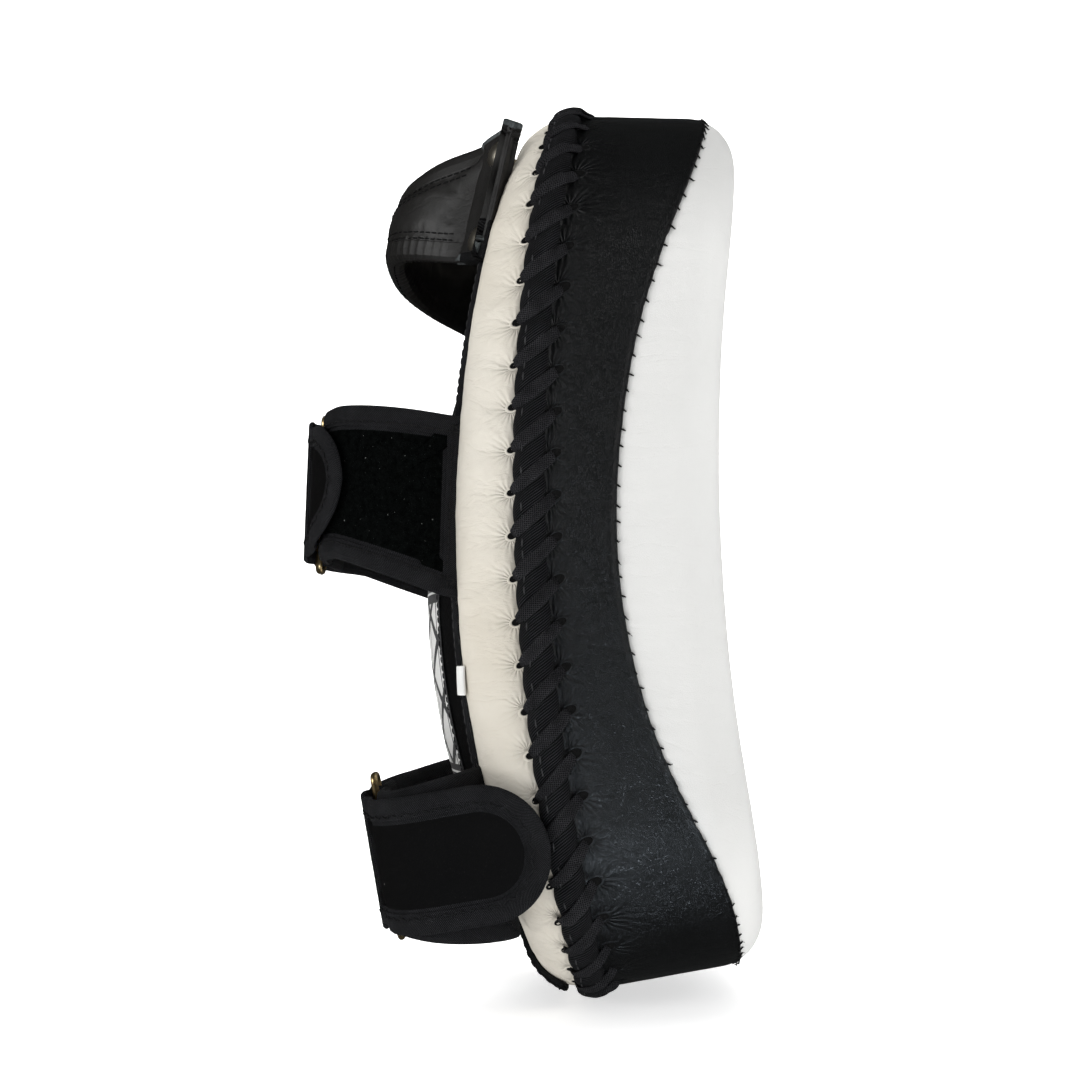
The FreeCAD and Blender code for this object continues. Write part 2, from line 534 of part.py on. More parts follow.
def strap_parts(name, spec, outer, bed):
    """One forearm strap: arm, fold, tab, metal loop and keeper, each as its layers."""
    y_ring, n_ring = spec["ring"]
    near_bar, far_bar = (y_ring, n_ring), (y_ring + RING_BARS, n_ring)
    mid = FOLD_IN + FOLD_T / 2
    base, tilt = spec["base"], spec["tilt"]
    half_t = (ARM_FACE + ARM_LINING) / 2
    parts = {}

    lean = spec["lean"]
    arm_path = spec["arm"] + ((y_ring - 6.0, n_ring - mid - 0.4), (y_ring, n_ring - mid))
    plan = arm_plan(spec, 0.0, -130, 0 + y_ring)
    face = band(arm_path, half_t - ARM_FACE, half_t).common(plan)
    lining = band(arm_path, -half_t, half_t - ARM_FACE).common(plan)
    tape = band(arm_path, -half_t - TAPE_T, half_t + TAPE_T)
    tape = tape.common(arm_plan(spec, TAPE_T, -130, y_ring)).cut(arm_plan(spec, -TAPE_W, -131, y_ring + 1))
    tape = tape.cut(face).cut(lining)
    trim = Part.makeBox(200, 200, 200, Vec(-150, y_ring - 7.0, -100))
    parts["strap_face"], parts["strap_lining"] = face, lining
    parts["strap_tape"] = tape.cut(trim)
    parts["strap_fold"] = ring_shell(near_bar, FOLD_IN, FOLD_IN + FOLD_T, -90, FOLD_OPEN_LOW,
                                     spec["half_tip"] - 2.0, lean)

    keeper_path = spec["keeper"] + ((far_bar[0] + 8, n_ring + KEEPER_IN + KEEPER_T / 2 + 0.2),
                                    (far_bar[0], n_ring + KEEPER_IN + KEEPER_T / 2))
    back_leg = ((far_bar[0], n_ring - KEEPER_IN - KEEPER_T / 2), (far_bar[0] + 8, n_ring - KEEPER_IN - KEEPER_T / 2),
                spec["keeper_inside"])
    keep_plan = arm_plan(spec, 0.0, far_bar[0], 130)
    keeper = band(keeper_path, -KEEPER_T / 2, KEEPER_T / 2).common(keep_plan)
    roll = ring_shell(far_bar, KEEPER_IN, KEEPER_IN + KEEPER_T, 90, 270, spec["half_tip"], lean)
    leg = band(back_leg, -KEEPER_T / 2, KEEPER_T / 2).common(arm_plan(spec, -1.0, far_bar[0], 130))
    leg = leg.cut(keeper)
    keeper = keeper.fuse(roll).removeSplitter()
    k_tape = band(keeper_path, -KEEPER_T / 2 - TAPE_T, KEEPER_T / 2 + TAPE_T)
    k_tape = k_tape.common(arm_plan(spec, TAPE_T, far_bar[0] + 9, 130))
    k_tape = k_tape.cut(arm_plan(spec, -TAPE_W, far_bar[0] + 8, 131)).cut(keeper).cut(leg)
    parts["keeper"] = keeper
    parts["keeper_leg"] = leg
    parts["keeper_tape"] = k_tape

    arm_curve = band_points(arm_path, half_t + TAB_CLEAR + TAB_COVER_T / 2, 60)
    hug = [(p.x, p.y) for p in arm_curve if p.x < y_ring - 17 and p.y > (12 if spec["tab_free"] else -5)]
    hug = hug[::-1][::6]
    tab_path = ((y_ring, n_ring + mid), (y_ring - 6, n_ring + mid - 0.2)) + tuple(hug) + spec["tab_free"]
    t2 = TAB_COVER_T / 2
    hook_gap = t2 + TAB_HOOK_T
    plan = tab_plan(spec, 0.0)
    cover = band(tab_path, -t2, t2).common(plan)
    start = ring_shell(near_bar, mid - t2, mid + t2, FOLD_OPEN_HIGH, 90, spec["tab_half"], lean)
    cover = cover.fuse(start).removeSplitter()
    hook_plan = tab_plan(spec, -TAPE_W - 0.4)
    hook_zone = Part.makeBox(200, 200, 200, Vec(-150, y_ring - 18.0 - 200, -100))
    hook = band(tab_path, t2, hook_gap).common(hook_plan).common(hook_zone)
    rim = band(tab_path, -t2 - TAPE_T, t2 + TAPE_T)
    rim = rim.common(tab_plan(spec, TAPE_T))
    rim = rim.cut(tab_plan(spec, -TAPE_W))
    rim = rim.cut(cover).cut(Part.makeBox(200, 200, 200, Vec(-150, y_ring - 8.0, -100)))
    parts["tab_cover"], parts["tab_hook"], parts["tab_tape"] = cover, hook, rim

    parts["loop"] = metal_loop(near_bar, far_bar, lean)
    rigid = ("loop", "tab_cover", "tab_hook", "tab_tape", "strap_fold")
    made = {}
    for key, shape in parts.items():
        shape = placed(shape, base, tilt)
        if key not in rigid:
            shape = less(shape, outer, bed)
        made[name + "_" + key] = shape
    return made


def metal_loop(near_bar, far_bar, lean):
    """Rectangular wire loop whose long bars run along the pad."""
    y0, n = near_bar
    y1 = far_bar[0]
    half, r = RING_LONG / 2, RING_CORNER
    c = r * (1 - math.sqrt(0.5))
    corners = (
        (Vec(-n, y1, half - r), Vec(-n, y1 - c, half - c), Vec(-n, y1 - r, half)),
        (Vec(-n, y0 + r, half), Vec(-n, y0 + c, half - c), Vec(-n, y0, half - r)),
        (Vec(-n, y0, -half + r), Vec(-n, y0 + c, -half + c), Vec(-n, y0 + r, -half)),
        (Vec(-n, y1 - r, -half), Vec(-n, y1 - c, -half + c), Vec(-n, y1, -half + r)),
    )
    edges = []
    for i, corner in enumerate(corners):
        edges.append(Part.Arc(*corner).toShape())
        edges.append(Part.makeLine(corner[2], corners[(i + 1) % 4][0]))
    path = Part.Wire(edges)
    start = corners[0][0]
    profile = Part.Wire([Part.makeCircle(RING_WIRE_R, start, Vec(0, 0, 1))])
    loop = path.makePipeShell([profile], True, False)
    loop.translate(Vec(0, 0, lean))
    return loop


# ---- everything -------------------------------------------------------------------
def main():
    os.makedirs("parts", exist_ok=True)
    for old in os.listdir("parts"):
        os.remove(os.path.join("parts", old))
    outer, inner = pad_solid(0.0), pad_solid(LEATHER)
    back_panel, back_foam = body_parts(outer, inner)
    bed, cover, foam, label, rim, tongue = arm_bed_parts(outer)
    parts, back_panel, back_foam, rivets = grip_parts(outer, bed, back_panel, back_foam)
    save(back_panel, "back_panel")
    save(back_foam, "back_foam")
    for name, shape in (("arm_bed_cover", cover), ("arm_bed_foam", foam), ("arm_bed_label", label),
                        ("arm_bed_binding", rim), ("arm_bed_tongue", tongue)):
        shape = shape.cut(rivets)
        if name == "arm_bed_binding":
            for key in ("grip_patches", "grip_lining", "grip_tape", "grip_cover"):
                shape = shape.cut(parts[key])
        save(shape, name)
    save(less(side_tag(), outer, bed), "side_tag")
    for key, shape in parts.items():
        save(shape, key)
    for name, spec in STRAPS.items():
        for key, shape in strap_parts(name, spec, outer, bed).items():
            save(less(shape, rim) if key.endswith(("face", "lining", "tape", "keeper")) else shape, key)


main()
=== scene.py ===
"""Looks for the curved kick pad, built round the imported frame: stretched leather, cord
lacing, twill binding, pile fabric and aged metal. All lengths are metres."""
import bpy
import json
import math
import numpy as np
from mathutils import Matrix, Vector, noise
from mathutils.bvhtree import BVHTree
from mathutils.kdtree import KDTree


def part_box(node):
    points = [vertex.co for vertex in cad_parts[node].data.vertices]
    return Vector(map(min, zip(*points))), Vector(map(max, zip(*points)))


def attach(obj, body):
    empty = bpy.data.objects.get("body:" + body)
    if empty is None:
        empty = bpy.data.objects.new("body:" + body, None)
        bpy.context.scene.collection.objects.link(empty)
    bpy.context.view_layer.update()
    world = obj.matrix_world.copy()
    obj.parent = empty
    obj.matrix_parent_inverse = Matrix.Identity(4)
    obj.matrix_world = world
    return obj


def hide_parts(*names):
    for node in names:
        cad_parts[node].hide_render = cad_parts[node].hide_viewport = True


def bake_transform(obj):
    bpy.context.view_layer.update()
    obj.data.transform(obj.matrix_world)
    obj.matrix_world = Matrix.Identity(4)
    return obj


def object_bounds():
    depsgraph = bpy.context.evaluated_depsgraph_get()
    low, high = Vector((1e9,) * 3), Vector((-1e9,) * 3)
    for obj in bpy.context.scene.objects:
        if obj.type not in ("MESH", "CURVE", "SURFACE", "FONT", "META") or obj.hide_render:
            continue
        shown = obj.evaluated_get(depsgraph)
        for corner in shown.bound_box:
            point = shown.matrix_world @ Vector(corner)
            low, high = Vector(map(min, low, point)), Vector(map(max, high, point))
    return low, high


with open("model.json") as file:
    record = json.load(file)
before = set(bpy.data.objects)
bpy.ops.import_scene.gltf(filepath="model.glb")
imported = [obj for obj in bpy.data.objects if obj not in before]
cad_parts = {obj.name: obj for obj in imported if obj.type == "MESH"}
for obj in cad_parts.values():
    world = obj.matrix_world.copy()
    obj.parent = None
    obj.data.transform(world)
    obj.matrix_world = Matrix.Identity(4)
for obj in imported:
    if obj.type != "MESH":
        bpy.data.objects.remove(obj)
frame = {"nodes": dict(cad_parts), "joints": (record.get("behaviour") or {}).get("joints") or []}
CAD_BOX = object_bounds()
MM = 0.001
TAU = 2 * math.pi
X_AXIS, Y_AXIS, Z_AXIS = np.eye(3)
NODES = frame["nodes"]
JOINTS = {j["name"]: j for j in frame["joints"]}

# ---- sizes worked out from the frame ------------------------------------------------
GUSSET_LOW, GUSSET_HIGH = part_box("side_gusset")
HALF_WIDTH = GUSSET_HIGH.y
END_LOW, END_HIGH = GUSSET_LOW.z, GUSSET_HIGH.z
FRONT_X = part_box("front_panel")[1].x
CORNER = HALF_WIDTH * 0.82             # radius of the outline's corners
CORE = HALF_WIDTH * 2 / 195.0          # one millimetre at the frame's own scale
CORE_HALF = 6.0 * CORE                 # half the width of the padded lace core
SHIFT = 1.3 * CORE                     # from the core's middle to the wraps' middle
REACH = {-1: 11.3 * CORE, 1: 12.3 * CORE}   # wrap's middle to its back hole and its side hole
LACE_ANGLE = math.radians(41.5)        # slant of the wraps
INSET = 42.0 * CORE                    # from the outline to where the flat faces start
BED_INSET = 28.5 * CORE                # from the outline to the arm bed's edge
STEP = 1.6 * CORE                      # mesh spacing round the outline
DEEPEST = 1.75 * CORE                  # the leather is 2 mm thick: no dent goes deeper
SEAM_PITCH = 7.5 * MM                  # stitch spacing of the front seam
SPACING = 1.5 * MM                     # point spacing along straps and outlines
BINDING = 8.5 * MM                     # width of the straps' edge tape


# ---- mesh helpers -------------------------------------------------------------------
def coordinates(mesh):
    flat = np.empty(len(mesh.vertices) * 3)
    mesh.vertices.foreach_get("co", flat)
    return flat.reshape(-1, 3)


def vertices_of(node):
    return coordinates(NODES[node].data)


def tree_of_meshes(meshes):
    """Ray-cast tree over several meshes together."""
    points, faces = [], []
    for mesh in meshes:
        base = len(points)
        points.extend(map(Vector, coordinates(mesh)))
        faces.extend([[base + v for v in p.vertices] for p in mesh.polygons])
    return BVHTree.FromPolygons(points, faces)


def tree_of(*names):
    return tree_of_meshes([NODES[name].data for name in names])


def tree_of_objects(*objects):
    return tree_of_meshes([o.data for o in objects])


def islands(node):
    """The separate solids of a CAD node, as arrays of points."""
    co = vertices_of(node)
    keys = {}
    label = [keys.setdefault(tuple(k), len(keys)) for k in np.round(co * 1e6).astype(int)]
    parent = list(range(len(keys)))

    def root(a):
        while parent[a] != a:
            parent[a] = parent[parent[a]]
            a = parent[a]
        return a
    for p in NODES[node].data.polygons:
        first = root(label[p.vertices[0]])
        for v in p.vertices[1:]:
            parent[root(label[v])] = first
    groups = {}
    for i, lab in enumerate(label):
        groups.setdefault(root(lab), []).append(i)
    return [co[g] for g in groups.values()]


def unit(a):
    return a / np.maximum(np.linalg.norm(a, axis=-1, keepdims=True), 1e-12)


def new_object(name, points, faces, uvs, materials, indices=None):
    mesh = bpy.data.meshes.new(name)
    mesh.from_pydata([tuple(p) for p in points], [], [tuple(f) for f in faces])
    mesh.polygons.foreach_set("use_smooth", [True] * len(mesh.polygons))
    layer = mesh.uv_layers.new(name="UVMap")
    layer.data.foreach_set("uv", np.asarray(uvs, np.float32).ravel())
    for m in materials:
        mesh.materials.append(m)
    if indices is not None:
        mesh.polygons.foreach_set("material_index", list(indices))
    o = bpy.data.objects.new(name, mesh)
    bpy.context.scene.collection.objects.link(o)
    return o


def lengths(points):
    """Length from the first point to each point of a row."""
    steps = np.linalg.norm(np.diff(points, axis=0), axis=1)
    return np.concatenate([[0.0], np.cumsum(steps)])


def looped(row):
    """A closed row with its first point again at the end."""
    return np.vstack([row, row[:1]])


def between(want, along, row):
    """A row of points read at wanted lengths."""
    return np.stack([np.interp(want, along, row[:, k]) for k in range(row.shape[1])], -1)


def grid_data(P, u=None, v=None, close_u=False, close_v=False, flip=False):
    """Points, quads and per-corner UVs of a grid of points."""
    m, n = P.shape[:2]
    mu, nv = (m if close_u else m - 1), (n if close_v else n - 1)
    if u is None:
        row = P[:, n // 2]
        u = lengths(looped(row) if close_u else row)
    if v is None:
        col = P[m // 2]
        v = lengths(looped(col) if close_v else col)
    i, j = np.meshgrid(np.arange(mu), np.arange(nv), indexing="ij")
    i, j = i.ravel(), j.ravel()
    i2, j2 = (i + 1) % m, (j + 1) % n
    quads = np.stack([i * n + j, i2 * n + j, i2 * n + j2, i * n + j2], 1)
    uv = np.stack([np.stack([u[i], v[j]], 1), np.stack([u[i + 1], v[j]], 1),
                   np.stack([u[i + 1], v[j + 1]], 1), np.stack([u[i], v[j + 1]], 1)], 1)
    if flip:
        quads, uv = quads[:, ::-1], uv[:, ::-1]
    return P.reshape(-1, 3), quads, uv.reshape(-1, 2)


def grid(name, P, material, **options):
    points, quads, uv = grid_data(P, **options)
    return new_object(name, points, quads, uv, [material])


def merged(name, pieces, materials, indices=None):
    """One object from several (points, faces, uvs) sets; indices gives each one's material."""
    points, faces, uvs, slots, base = [], [], [], [], 0
    for k, (p, f, uv) in enumerate(pieces):
        points.append(p)
        faces.extend([[base + c for c in face] for face in f])
        uvs.append(uv)
        slots.extend([indices[k] if indices else 0] * len(f))
        base += len(p)
    return new_object(name, np.vstack(points), faces, np.vstack(uvs), materials, slots)


def grid_normals(P, outward):
    """Normals of a grid closed along its first way, turned the way of outward."""
    n = unit(np.cross(np.roll(P, -1, 0) - np.roll(P, 1, 0), np.gradient(P, axis=1)))
    sign = np.sign((n * outward).sum(-1, keepdims=True))
    sign[sign == 0] = 1
    return n * sign


def resampled(row, count, cut=0.0):
    """Points evenly spaced along a polyline, up to a cut from its end."""
    along = lengths(row)
    return between(np.linspace(0.0, along[-1] - cut, count), along, row)


def wavy(P, scale, seed):
    """Smooth noise from -1 to 1 at each point of an array."""
    flat = P.reshape(-1, 3) * scale
    off = Vector((seed * 7.31, seed * 3.17, seed * 1.93))
    values = [noise.noise(Vector(p) + off) for p in flat]
    return np.array(values).reshape(P.shape[:-1])


def tangents(path):
    return unit(np.gradient(path, axis=0))


# ---- material helper ----------------------------------------------------------------
class Shader:
    """Short calls for building one procedural material."""

    def __init__(self, name):
        self.material = bpy.data.materials.new(name)
        self.material.use_nodes = True
        self.tree = self.material.node_tree
        self.bsdf = self.tree.nodes["Principled BSDF"]
        self.coords = self.tree.nodes.new("ShaderNodeTexCoord")
        self.place = self.coords.outputs["Object"]
        self.uv = self.coords.outputs["UV"]

    def put(self, socket, value):
        if hasattr(value, "node"):
            self.tree.links.new(value, socket)
        elif isinstance(value, tuple) and len(value) == 3 and socket.type == "RGBA":
            socket.default_value = value + (1.0,)
        else:
            socket.default_value = value

    def node(self, kind, **inputs):
        n = self.tree.nodes.new(kind)
        for key, value in inputs.items():
            self.put(n.inputs[key.replace("_", " ")], value)
        return n

    def math(self, operation, *values):
        n = self.tree.nodes.new("ShaderNodeMath")
        n.operation = operation
        for k, value in enumerate(values):
            self.put(n.inputs[k], value)
        return n.outputs[0]

    def add(self, a, b):
        return self.math("ADD", a, b)

    def sub(self, a, b):
        return self.math("SUBTRACT", a, b)

    def mul(self, a, b):
        return self.math("MULTIPLY", a, b)

    def over(self, a, b):
        """1 where a is more than b, else 0."""
        return self.math("GREATER_THAN", a, b)

    def either(self, a, b):
        return self.math("MAXIMUM", a, b)

    def noise(self, scale, detail=3.0, rough=0.5, vector=None, distortion=0.0):
        n = self.node("ShaderNodeTexNoise", Scale=scale, Detail=detail, Roughness=rough,
                      Distortion=distortion, Vector=vector or self.place)
        return n.outputs["Fac"]

    def cells(self, scale, feature="DISTANCE_TO_EDGE"):
        n = self.node("ShaderNodeTexVoronoi", Vector=self.place)
        n.feature = feature
        n.inputs["Scale"].default_value = scale
        return n.outputs["Distance"]

    def spread(self, value, low, high, out_low=0.0, out_high=1.0):
        n = self.node("ShaderNodeMapRange", Value=value, From_Min=low, From_Max=high,
                      To_Min=out_low, To_Max=out_high)
        return n.outputs[0]

    def mix(self, amount, a, b):
        n = self.tree.nodes.new("ShaderNodeMix")
        n.data_type = "RGBA"
        for key, value in (("Factor", amount), ("A", a), ("B", b)):
            self.put(n.inputs[key], value)
        return n.outputs["Result"]

    def stretched(self, scale):
        return self.node("ShaderNodeMapping", Vector=self.place, Scale=scale).outputs[0]

    def uv_parts(self):
        n = self.tree.nodes.new("ShaderNodeSeparateXYZ")
        self.put(n.inputs[0], self.uv)
        return n.outputs[0], n.outputs[1]

    def bump(self, height, distance, strength=1.0, below=None):
        n = self.node("ShaderNodeBump", Height=height, Distance=distance, Strength=strength)
        if below is not None:
            self.put(n.inputs["Normal"], below)
        return n.outputs[0]

    def waves(self, value, pitch):
        """0 to 1 sine of a length, repeating every pitch."""
        turn = self.mul(value, TAU / pitch)
        return self.math("MULTIPLY_ADD", self.math("SINE", turn), 0.5, 0.5)

    def done(self, color, rough, normal, **extra):
        settings = {"Base Color": color, "Roughness": rough, "Normal": normal, **extra}
        for key, value in settings.items():
            self.put(self.bsdf.inputs[key.replace("_", " ")], value)
        return self.material


# ---- materials ----------------------------------------------------------------------
def leather(name, light, dark, rough, grain_mm, grain, crease, gather=0.0, specular=0.5):
    """Finished hide: fine pebble grain, soft creases, uneven tone; gather adds fans of
    fine folds round lace holes that sit at whole numbers of u."""
    pitch_mm, fold_count, fade_mm = 17.3, 17.0, 5.5
    s = Shader(name)
    patches = s.noise(60.0, 4.0)
    cell = s.cells(1000.0 / grain_mm)
    pebble = s.spread(cell, 0.0, 0.22)
    fine = s.noise(1400.0, 3.0, 0.6)
    folds = s.noise(34.0, 5.0, 0.55, s.stretched((1.0, 1.0, 2.4)), 0.6)
    lines = s.spread(s.math("ABSOLUTE", s.sub(folds, 0.5)), 0.0, 0.06)
    tone = s.spread(s.noise(13.0, 4.0), 0.3, 0.7)
    color = s.mix(tone, dark, light)
    # painted shade: the grain's crevices (the cell edges, low in the pebble bump) are darkened towards
    # the dark tone
    color = s.mix(s.mul(s.spread(cell, 0.0, 0.10, 1.0, 0.0), 0.25), color, dark)
    surface = s.bump(lines, crease * MM, 0.5)
    surface = s.bump(pebble, grain * MM, 0.8, surface)
    surface = s.bump(fine, grain * 0.35 * MM, 0.5, surface)
    if gather:
        u, v = s.uv_parts()
        across = s.mul(s.sub(u, s.math("ROUND", u)), pitch_mm)
        away = s.mul(v, 1000.0)
        angle = s.math("ARCTAN2", across, s.add(away, 0.6))
        wobble = s.mul(s.noise(90.0, 3.0), 14.0)
        fan = s.math("SINE", s.math("MULTIPLY_ADD", angle, fold_count, wobble))
        reach = s.math("SQRT", s.add(s.mul(across, across), s.mul(away, away)))
        fade = s.math("EXPONENT", s.math("DIVIDE", reach, -fade_mm))
        surface = s.bump(s.mul(fan, fade), gather * MM, 1.0, surface)
    worn = s.add(patches, s.mul(cell, 0.6))
    rough_value = s.spread(worn, 0.35, 1.0, rough - 0.07, rough + 0.10)
    return s.done(color, rough_value, surface, Specular_IOR_Level=specular)


def twill(name, light, dark, pitch, depth, slope=1.0):
    """Woven tape: diagonal ribs across u and v, broken up by the threads; the rib crests carry a painted
    highlight.
    """
    s = Shader(name)
    u, v = s.uv_parts()
    ribs = s.waves(s.add(u, s.mul(v, slope)), pitch)
    threads = s.waves(s.sub(v, s.mul(u, 0.25)), pitch * 0.6)
    cloth = s.math("MULTIPLY_ADD", threads, 0.45, ribs)
    fuzz = s.noise(2600.0, 2.0, 0.7)
    tone = s.noise(120.0, 4.0)
    # painted highlight: the rib crests are coloured lighter and the hollows darker; tone and fuzz vary
    # it at random
    amount = s.mul(s.spread(cloth, 0.5, 1.4), s.spread(tone, 0.25, 0.75, 0.55, 1.0))
    amount = s.mul(amount, s.spread(fuzz, 0.3, 0.7, 0.6, 1.1))
    surface = s.bump(cloth, depth * MM, 0.9)
    surface = s.bump(fuzz, 0.08 * MM, 0.6, surface)
    surface = s.bump(s.noise(180.0, 3.0), 0.35 * MM, 0.5, surface)
    return s.done(s.mix(amount, dark, light), 0.82, surface, Specular_IOR_Level=0.12)


def cord_weave(name, light, dark):
    """Flat braided cord: narrow ribs that cross along it; the rib crests carry a painted highlight."""
    pitch = 1.05 * MM
    s = Shader(name)
    u, v = s.uv_parts()
    bias = s.waves(s.add(u, s.mul(v, 0.7)), pitch)
    cross = s.waves(s.sub(u, s.mul(v, 0.7)), pitch)
    weave = s.either(bias, cross)
    fuzz = s.noise(2400.0, 2.0, 0.7)
    # painted highlight: the crossing ribs' crests are coloured lighter, with random fuzz and tone on top
    amount = s.mul(s.spread(weave, 0.55, 1.0), s.spread(fuzz, 0.25, 0.75, 0.4, 1.0))
    amount = s.mul(amount, s.spread(s.noise(150.0, 3.0), 0.3, 0.7, 0.5, 1.0))
    surface = s.bump(weave, 0.30 * MM, 1.0)
    surface = s.bump(fuzz, 0.07 * MM, 0.6, surface)
    return s.done(s.mix(amount, dark, light), 0.85, surface, Specular_IOR_Level=0.12)


def pile(name):
    """Unbrushed loop pile: very dark, soft, with flecks of lint; painted shade in its deep parts and a
    painted highlight on its raised clumps.
    """
    s = Shader(name)
    tuft = s.cells(1500.0, "F1")
    clumps = s.noise(420.0, 4.0, 0.7)
    lint = s.math("LESS_THAN", s.cells(240.0, "F1"), 0.075)
    threads = s.noise(700.0, 2.0, 0.5, distortion=2.0)
    specks = s.mul(lint, s.over(threads, 0.52))
    # painted shade and highlight: the pile's deep parts are coloured darker and its raised clumps
    # lighter, following the clump bump
    deep_shade, raised_highlight, fleck = (0.0005, 0.0008, 0.0007), (0.0032, 0.0040, 0.0038), (0.16, 0.17, 0.16)
    base = s.mix(s.spread(clumps, 0.35, 0.75), deep_shade, raised_highlight)
    color = s.mix(s.mul(specks, 0.75), base, fleck)
    surface = s.bump(tuft, 0.5 * MM, 1.0)
    surface = s.bump(clumps, 0.9 * MM, 0.8, surface)
    return s.done(color, 0.97, surface, Specular_IOR_Level=0.03)


def brushed_cloth(name, light, dark, rough=0.9, scale=1.0):
    """Foam-backed cloth: matte, nearly flat, with a very fine knit and a few specks of lint."""
    s = Shader(name)
    u, v = s.uv_parts()
    knit = s.mul(s.waves(u, 0.8 * MM * scale), s.waves(v, 0.6 * MM * scale))
    fuzz = s.noise(2200.0, 3.0, 0.7)
    tone = s.noise(28.0, 4.0)
    flecks = s.mul(s.math("LESS_THAN", s.cells(70.0, "F1"), 0.035), 0.5)
    color = s.mix(s.mul(tone, s.spread(fuzz, 0.2, 0.8, 0.5, 1.1)), dark, light)
    color = s.mix(flecks, color, (0.22, 0.22, 0.21))
    surface = s.bump(knit, 0.06 * MM, 0.7)
    surface = s.bump(fuzz, 0.05 * MM, 0.6, surface)
    surface = s.bump(s.noise(45.0, 3.0), 0.8 * MM, 0.35, surface)
    return s.done(color, rough, surface, Specular_IOR_Level=0.12)


def thread(name, color, light):
    """Sewing thread with its twist; the twist's crests carry a painted highlight."""
    s = Shader(name)
    twist = s.waves(s.add(*s.uv_parts()), 0.6 * MM)
    surface = s.bump(twist, 0.12 * MM, 0.8)
    # painted highlight: the twist's crests are coloured lighter
    tint = s.mix(s.spread(twist, 0.3, 1.0), color, light)
    return s.done(tint, 0.7, surface, Specular_IOR_Level=0.35)


def raw_edge(name):
    """Cut leather edge: fibrous grey-green core."""
    s = Shader(name)
    fibres = s.noise(500.0, 5.0, 0.75, s.stretched((1.0, 1.0, 0.35)))
    color = s.mix(s.spread(fibres, 0.3, 0.75), (0.014, 0.017, 0.018), (0.130, 0.145, 0.147))
    return s.done(color, 0.88, s.bump(fibres, 0.4 * MM, 0.9), Specular_IOR_Level=0.2)


def aged_metal(name, bright, dull, stain):
    """Plated metal with tarnish in soft patches and fine rubbing marks."""
    s = Shader(name)
    patch = s.noise(260.0, 5.0, 0.65)
    rub = s.noise(900.0, 3.0, 0.6, s.stretched((1.0, 5.0, 1.0)))
    color = s.mix(s.spread(patch, 0.38, 0.66), bright, dull)
    color = s.mix(s.spread(s.noise(90.0, 4.0), 0.58, 0.74), color, stain)
    rough = s.spread(s.add(patch, s.mul(rub, 0.4)), 0.4, 1.1, 0.18, 0.5)
    return s.done(color, rough, s.bump(rub, 0.03 * MM, 0.6), Metallic=1.0)


def hole_shade(name):
    """Painted shade for a punched hole: a near-black colour that stands for the dark inside of the hole.
    """
    s = Shader(name)
    grit = s.noise(900.0, 3.0)
    color = s.mix(grit, (0.002, 0.002, 0.002), (0.012, 0.012, 0.012))
    return s.done(color, 0.95, s.bump(grit, 0.3 * MM), Specular_IOR_Level=0.05)


def woven_label(name):
    """Pale jacquard band with black ends and a plain lattice of slanting lines; painted shade in the
    weave's low points.
    """
    end_length, bars = 11.0 * MM, 6.0 * MM
    s = Shader(name)
    v, z = s.uv_parts()
    low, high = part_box("arm_bed_label")
    u = s.sub(z, low.z)
    warp = s.mul(s.waves(u, 0.55 * MM), s.waves(v, 0.8 * MM))
    slant = s.waves(s.add(u, s.mul(v, 0.8)), 23.0 * MM)
    slant_back = s.waves(s.sub(u, s.mul(v, 0.8)), 31.0 * MM)
    marks = s.either(s.over(slant, 0.90), s.over(slant_back, 0.94))
    rails = s.over(s.waves(v, 16.0 * MM), 0.985)
    last = high.z - low.z - end_length
    ends = s.either(s.math("LESS_THAN", u, end_length), s.over(u, last))
    lines = s.over(s.waves(u, bars), 0.93)
    white, black = (0.72, 0.72, 0.70), (0.012, 0.012, 0.014)
    ground = s.mix(s.either(marks, rails), white, black)
    color = s.mix(ends, ground, s.mix(s.mul(lines, ends), black, white))
    # painted shade: the weave's low points are mixed towards dark grey
    color = s.mix(s.spread(warp, 0.0, 1.0, 0.25, 0.0), color, (0.05, 0.05, 0.05))
    surface = s.bump(warp, 0.12 * MM, 0.8)
    return s.done(color, 0.75, surface, Specular_IOR_Level=0.25, Sheen_Weight=0.1)


def studio_white(name):
    s = Shader(name)
    color = s.mix(s.noise(5.0, 3.0), (0.90, 0.90, 0.90), (0.92, 0.92, 0.92))
    surface = s.bump(s.noise(300.0), 0.02 * MM)
    return s.done(color, 0.9, surface, Specular_IOR_Level=0.05,
                  Emission_Color=(1.0, 1.0, 1.0), Emission_Strength=0.62)


FRONT_HIDE = leather("front_hide", (0.76, 0.76, 0.745), (0.72, 0.72, 0.705), 0.42, 0.75, 0.035, 0.10,
                     specular=0.35)
BACK_HIDE = leather("back_hide", (0.72, 0.685, 0.61), (0.63, 0.585, 0.50), 0.45, 0.70, 0.045, 0.30,
                    gather=0.22, specular=0.35)
BLACK_HIDE = leather("black_hide", (0.0044, 0.0050, 0.0054), (0.0022, 0.0026, 0.0028), 0.36, 0.60,
                     0.09, 0.17, gather=0.34)
GRIP_HIDE = leather("grip_hide", (0.0120, 0.0112, 0.0100), (0.0054, 0.0051, 0.0047), 0.46, 0.50,
                    0.02, 0.08)
BED_HIDE = leather("bed_hide", (0.0065, 0.0065, 0.0070), (0.0028, 0.0028, 0.0030), 0.55, 0.8,
                   0.10, 0.25, specular=0.12)
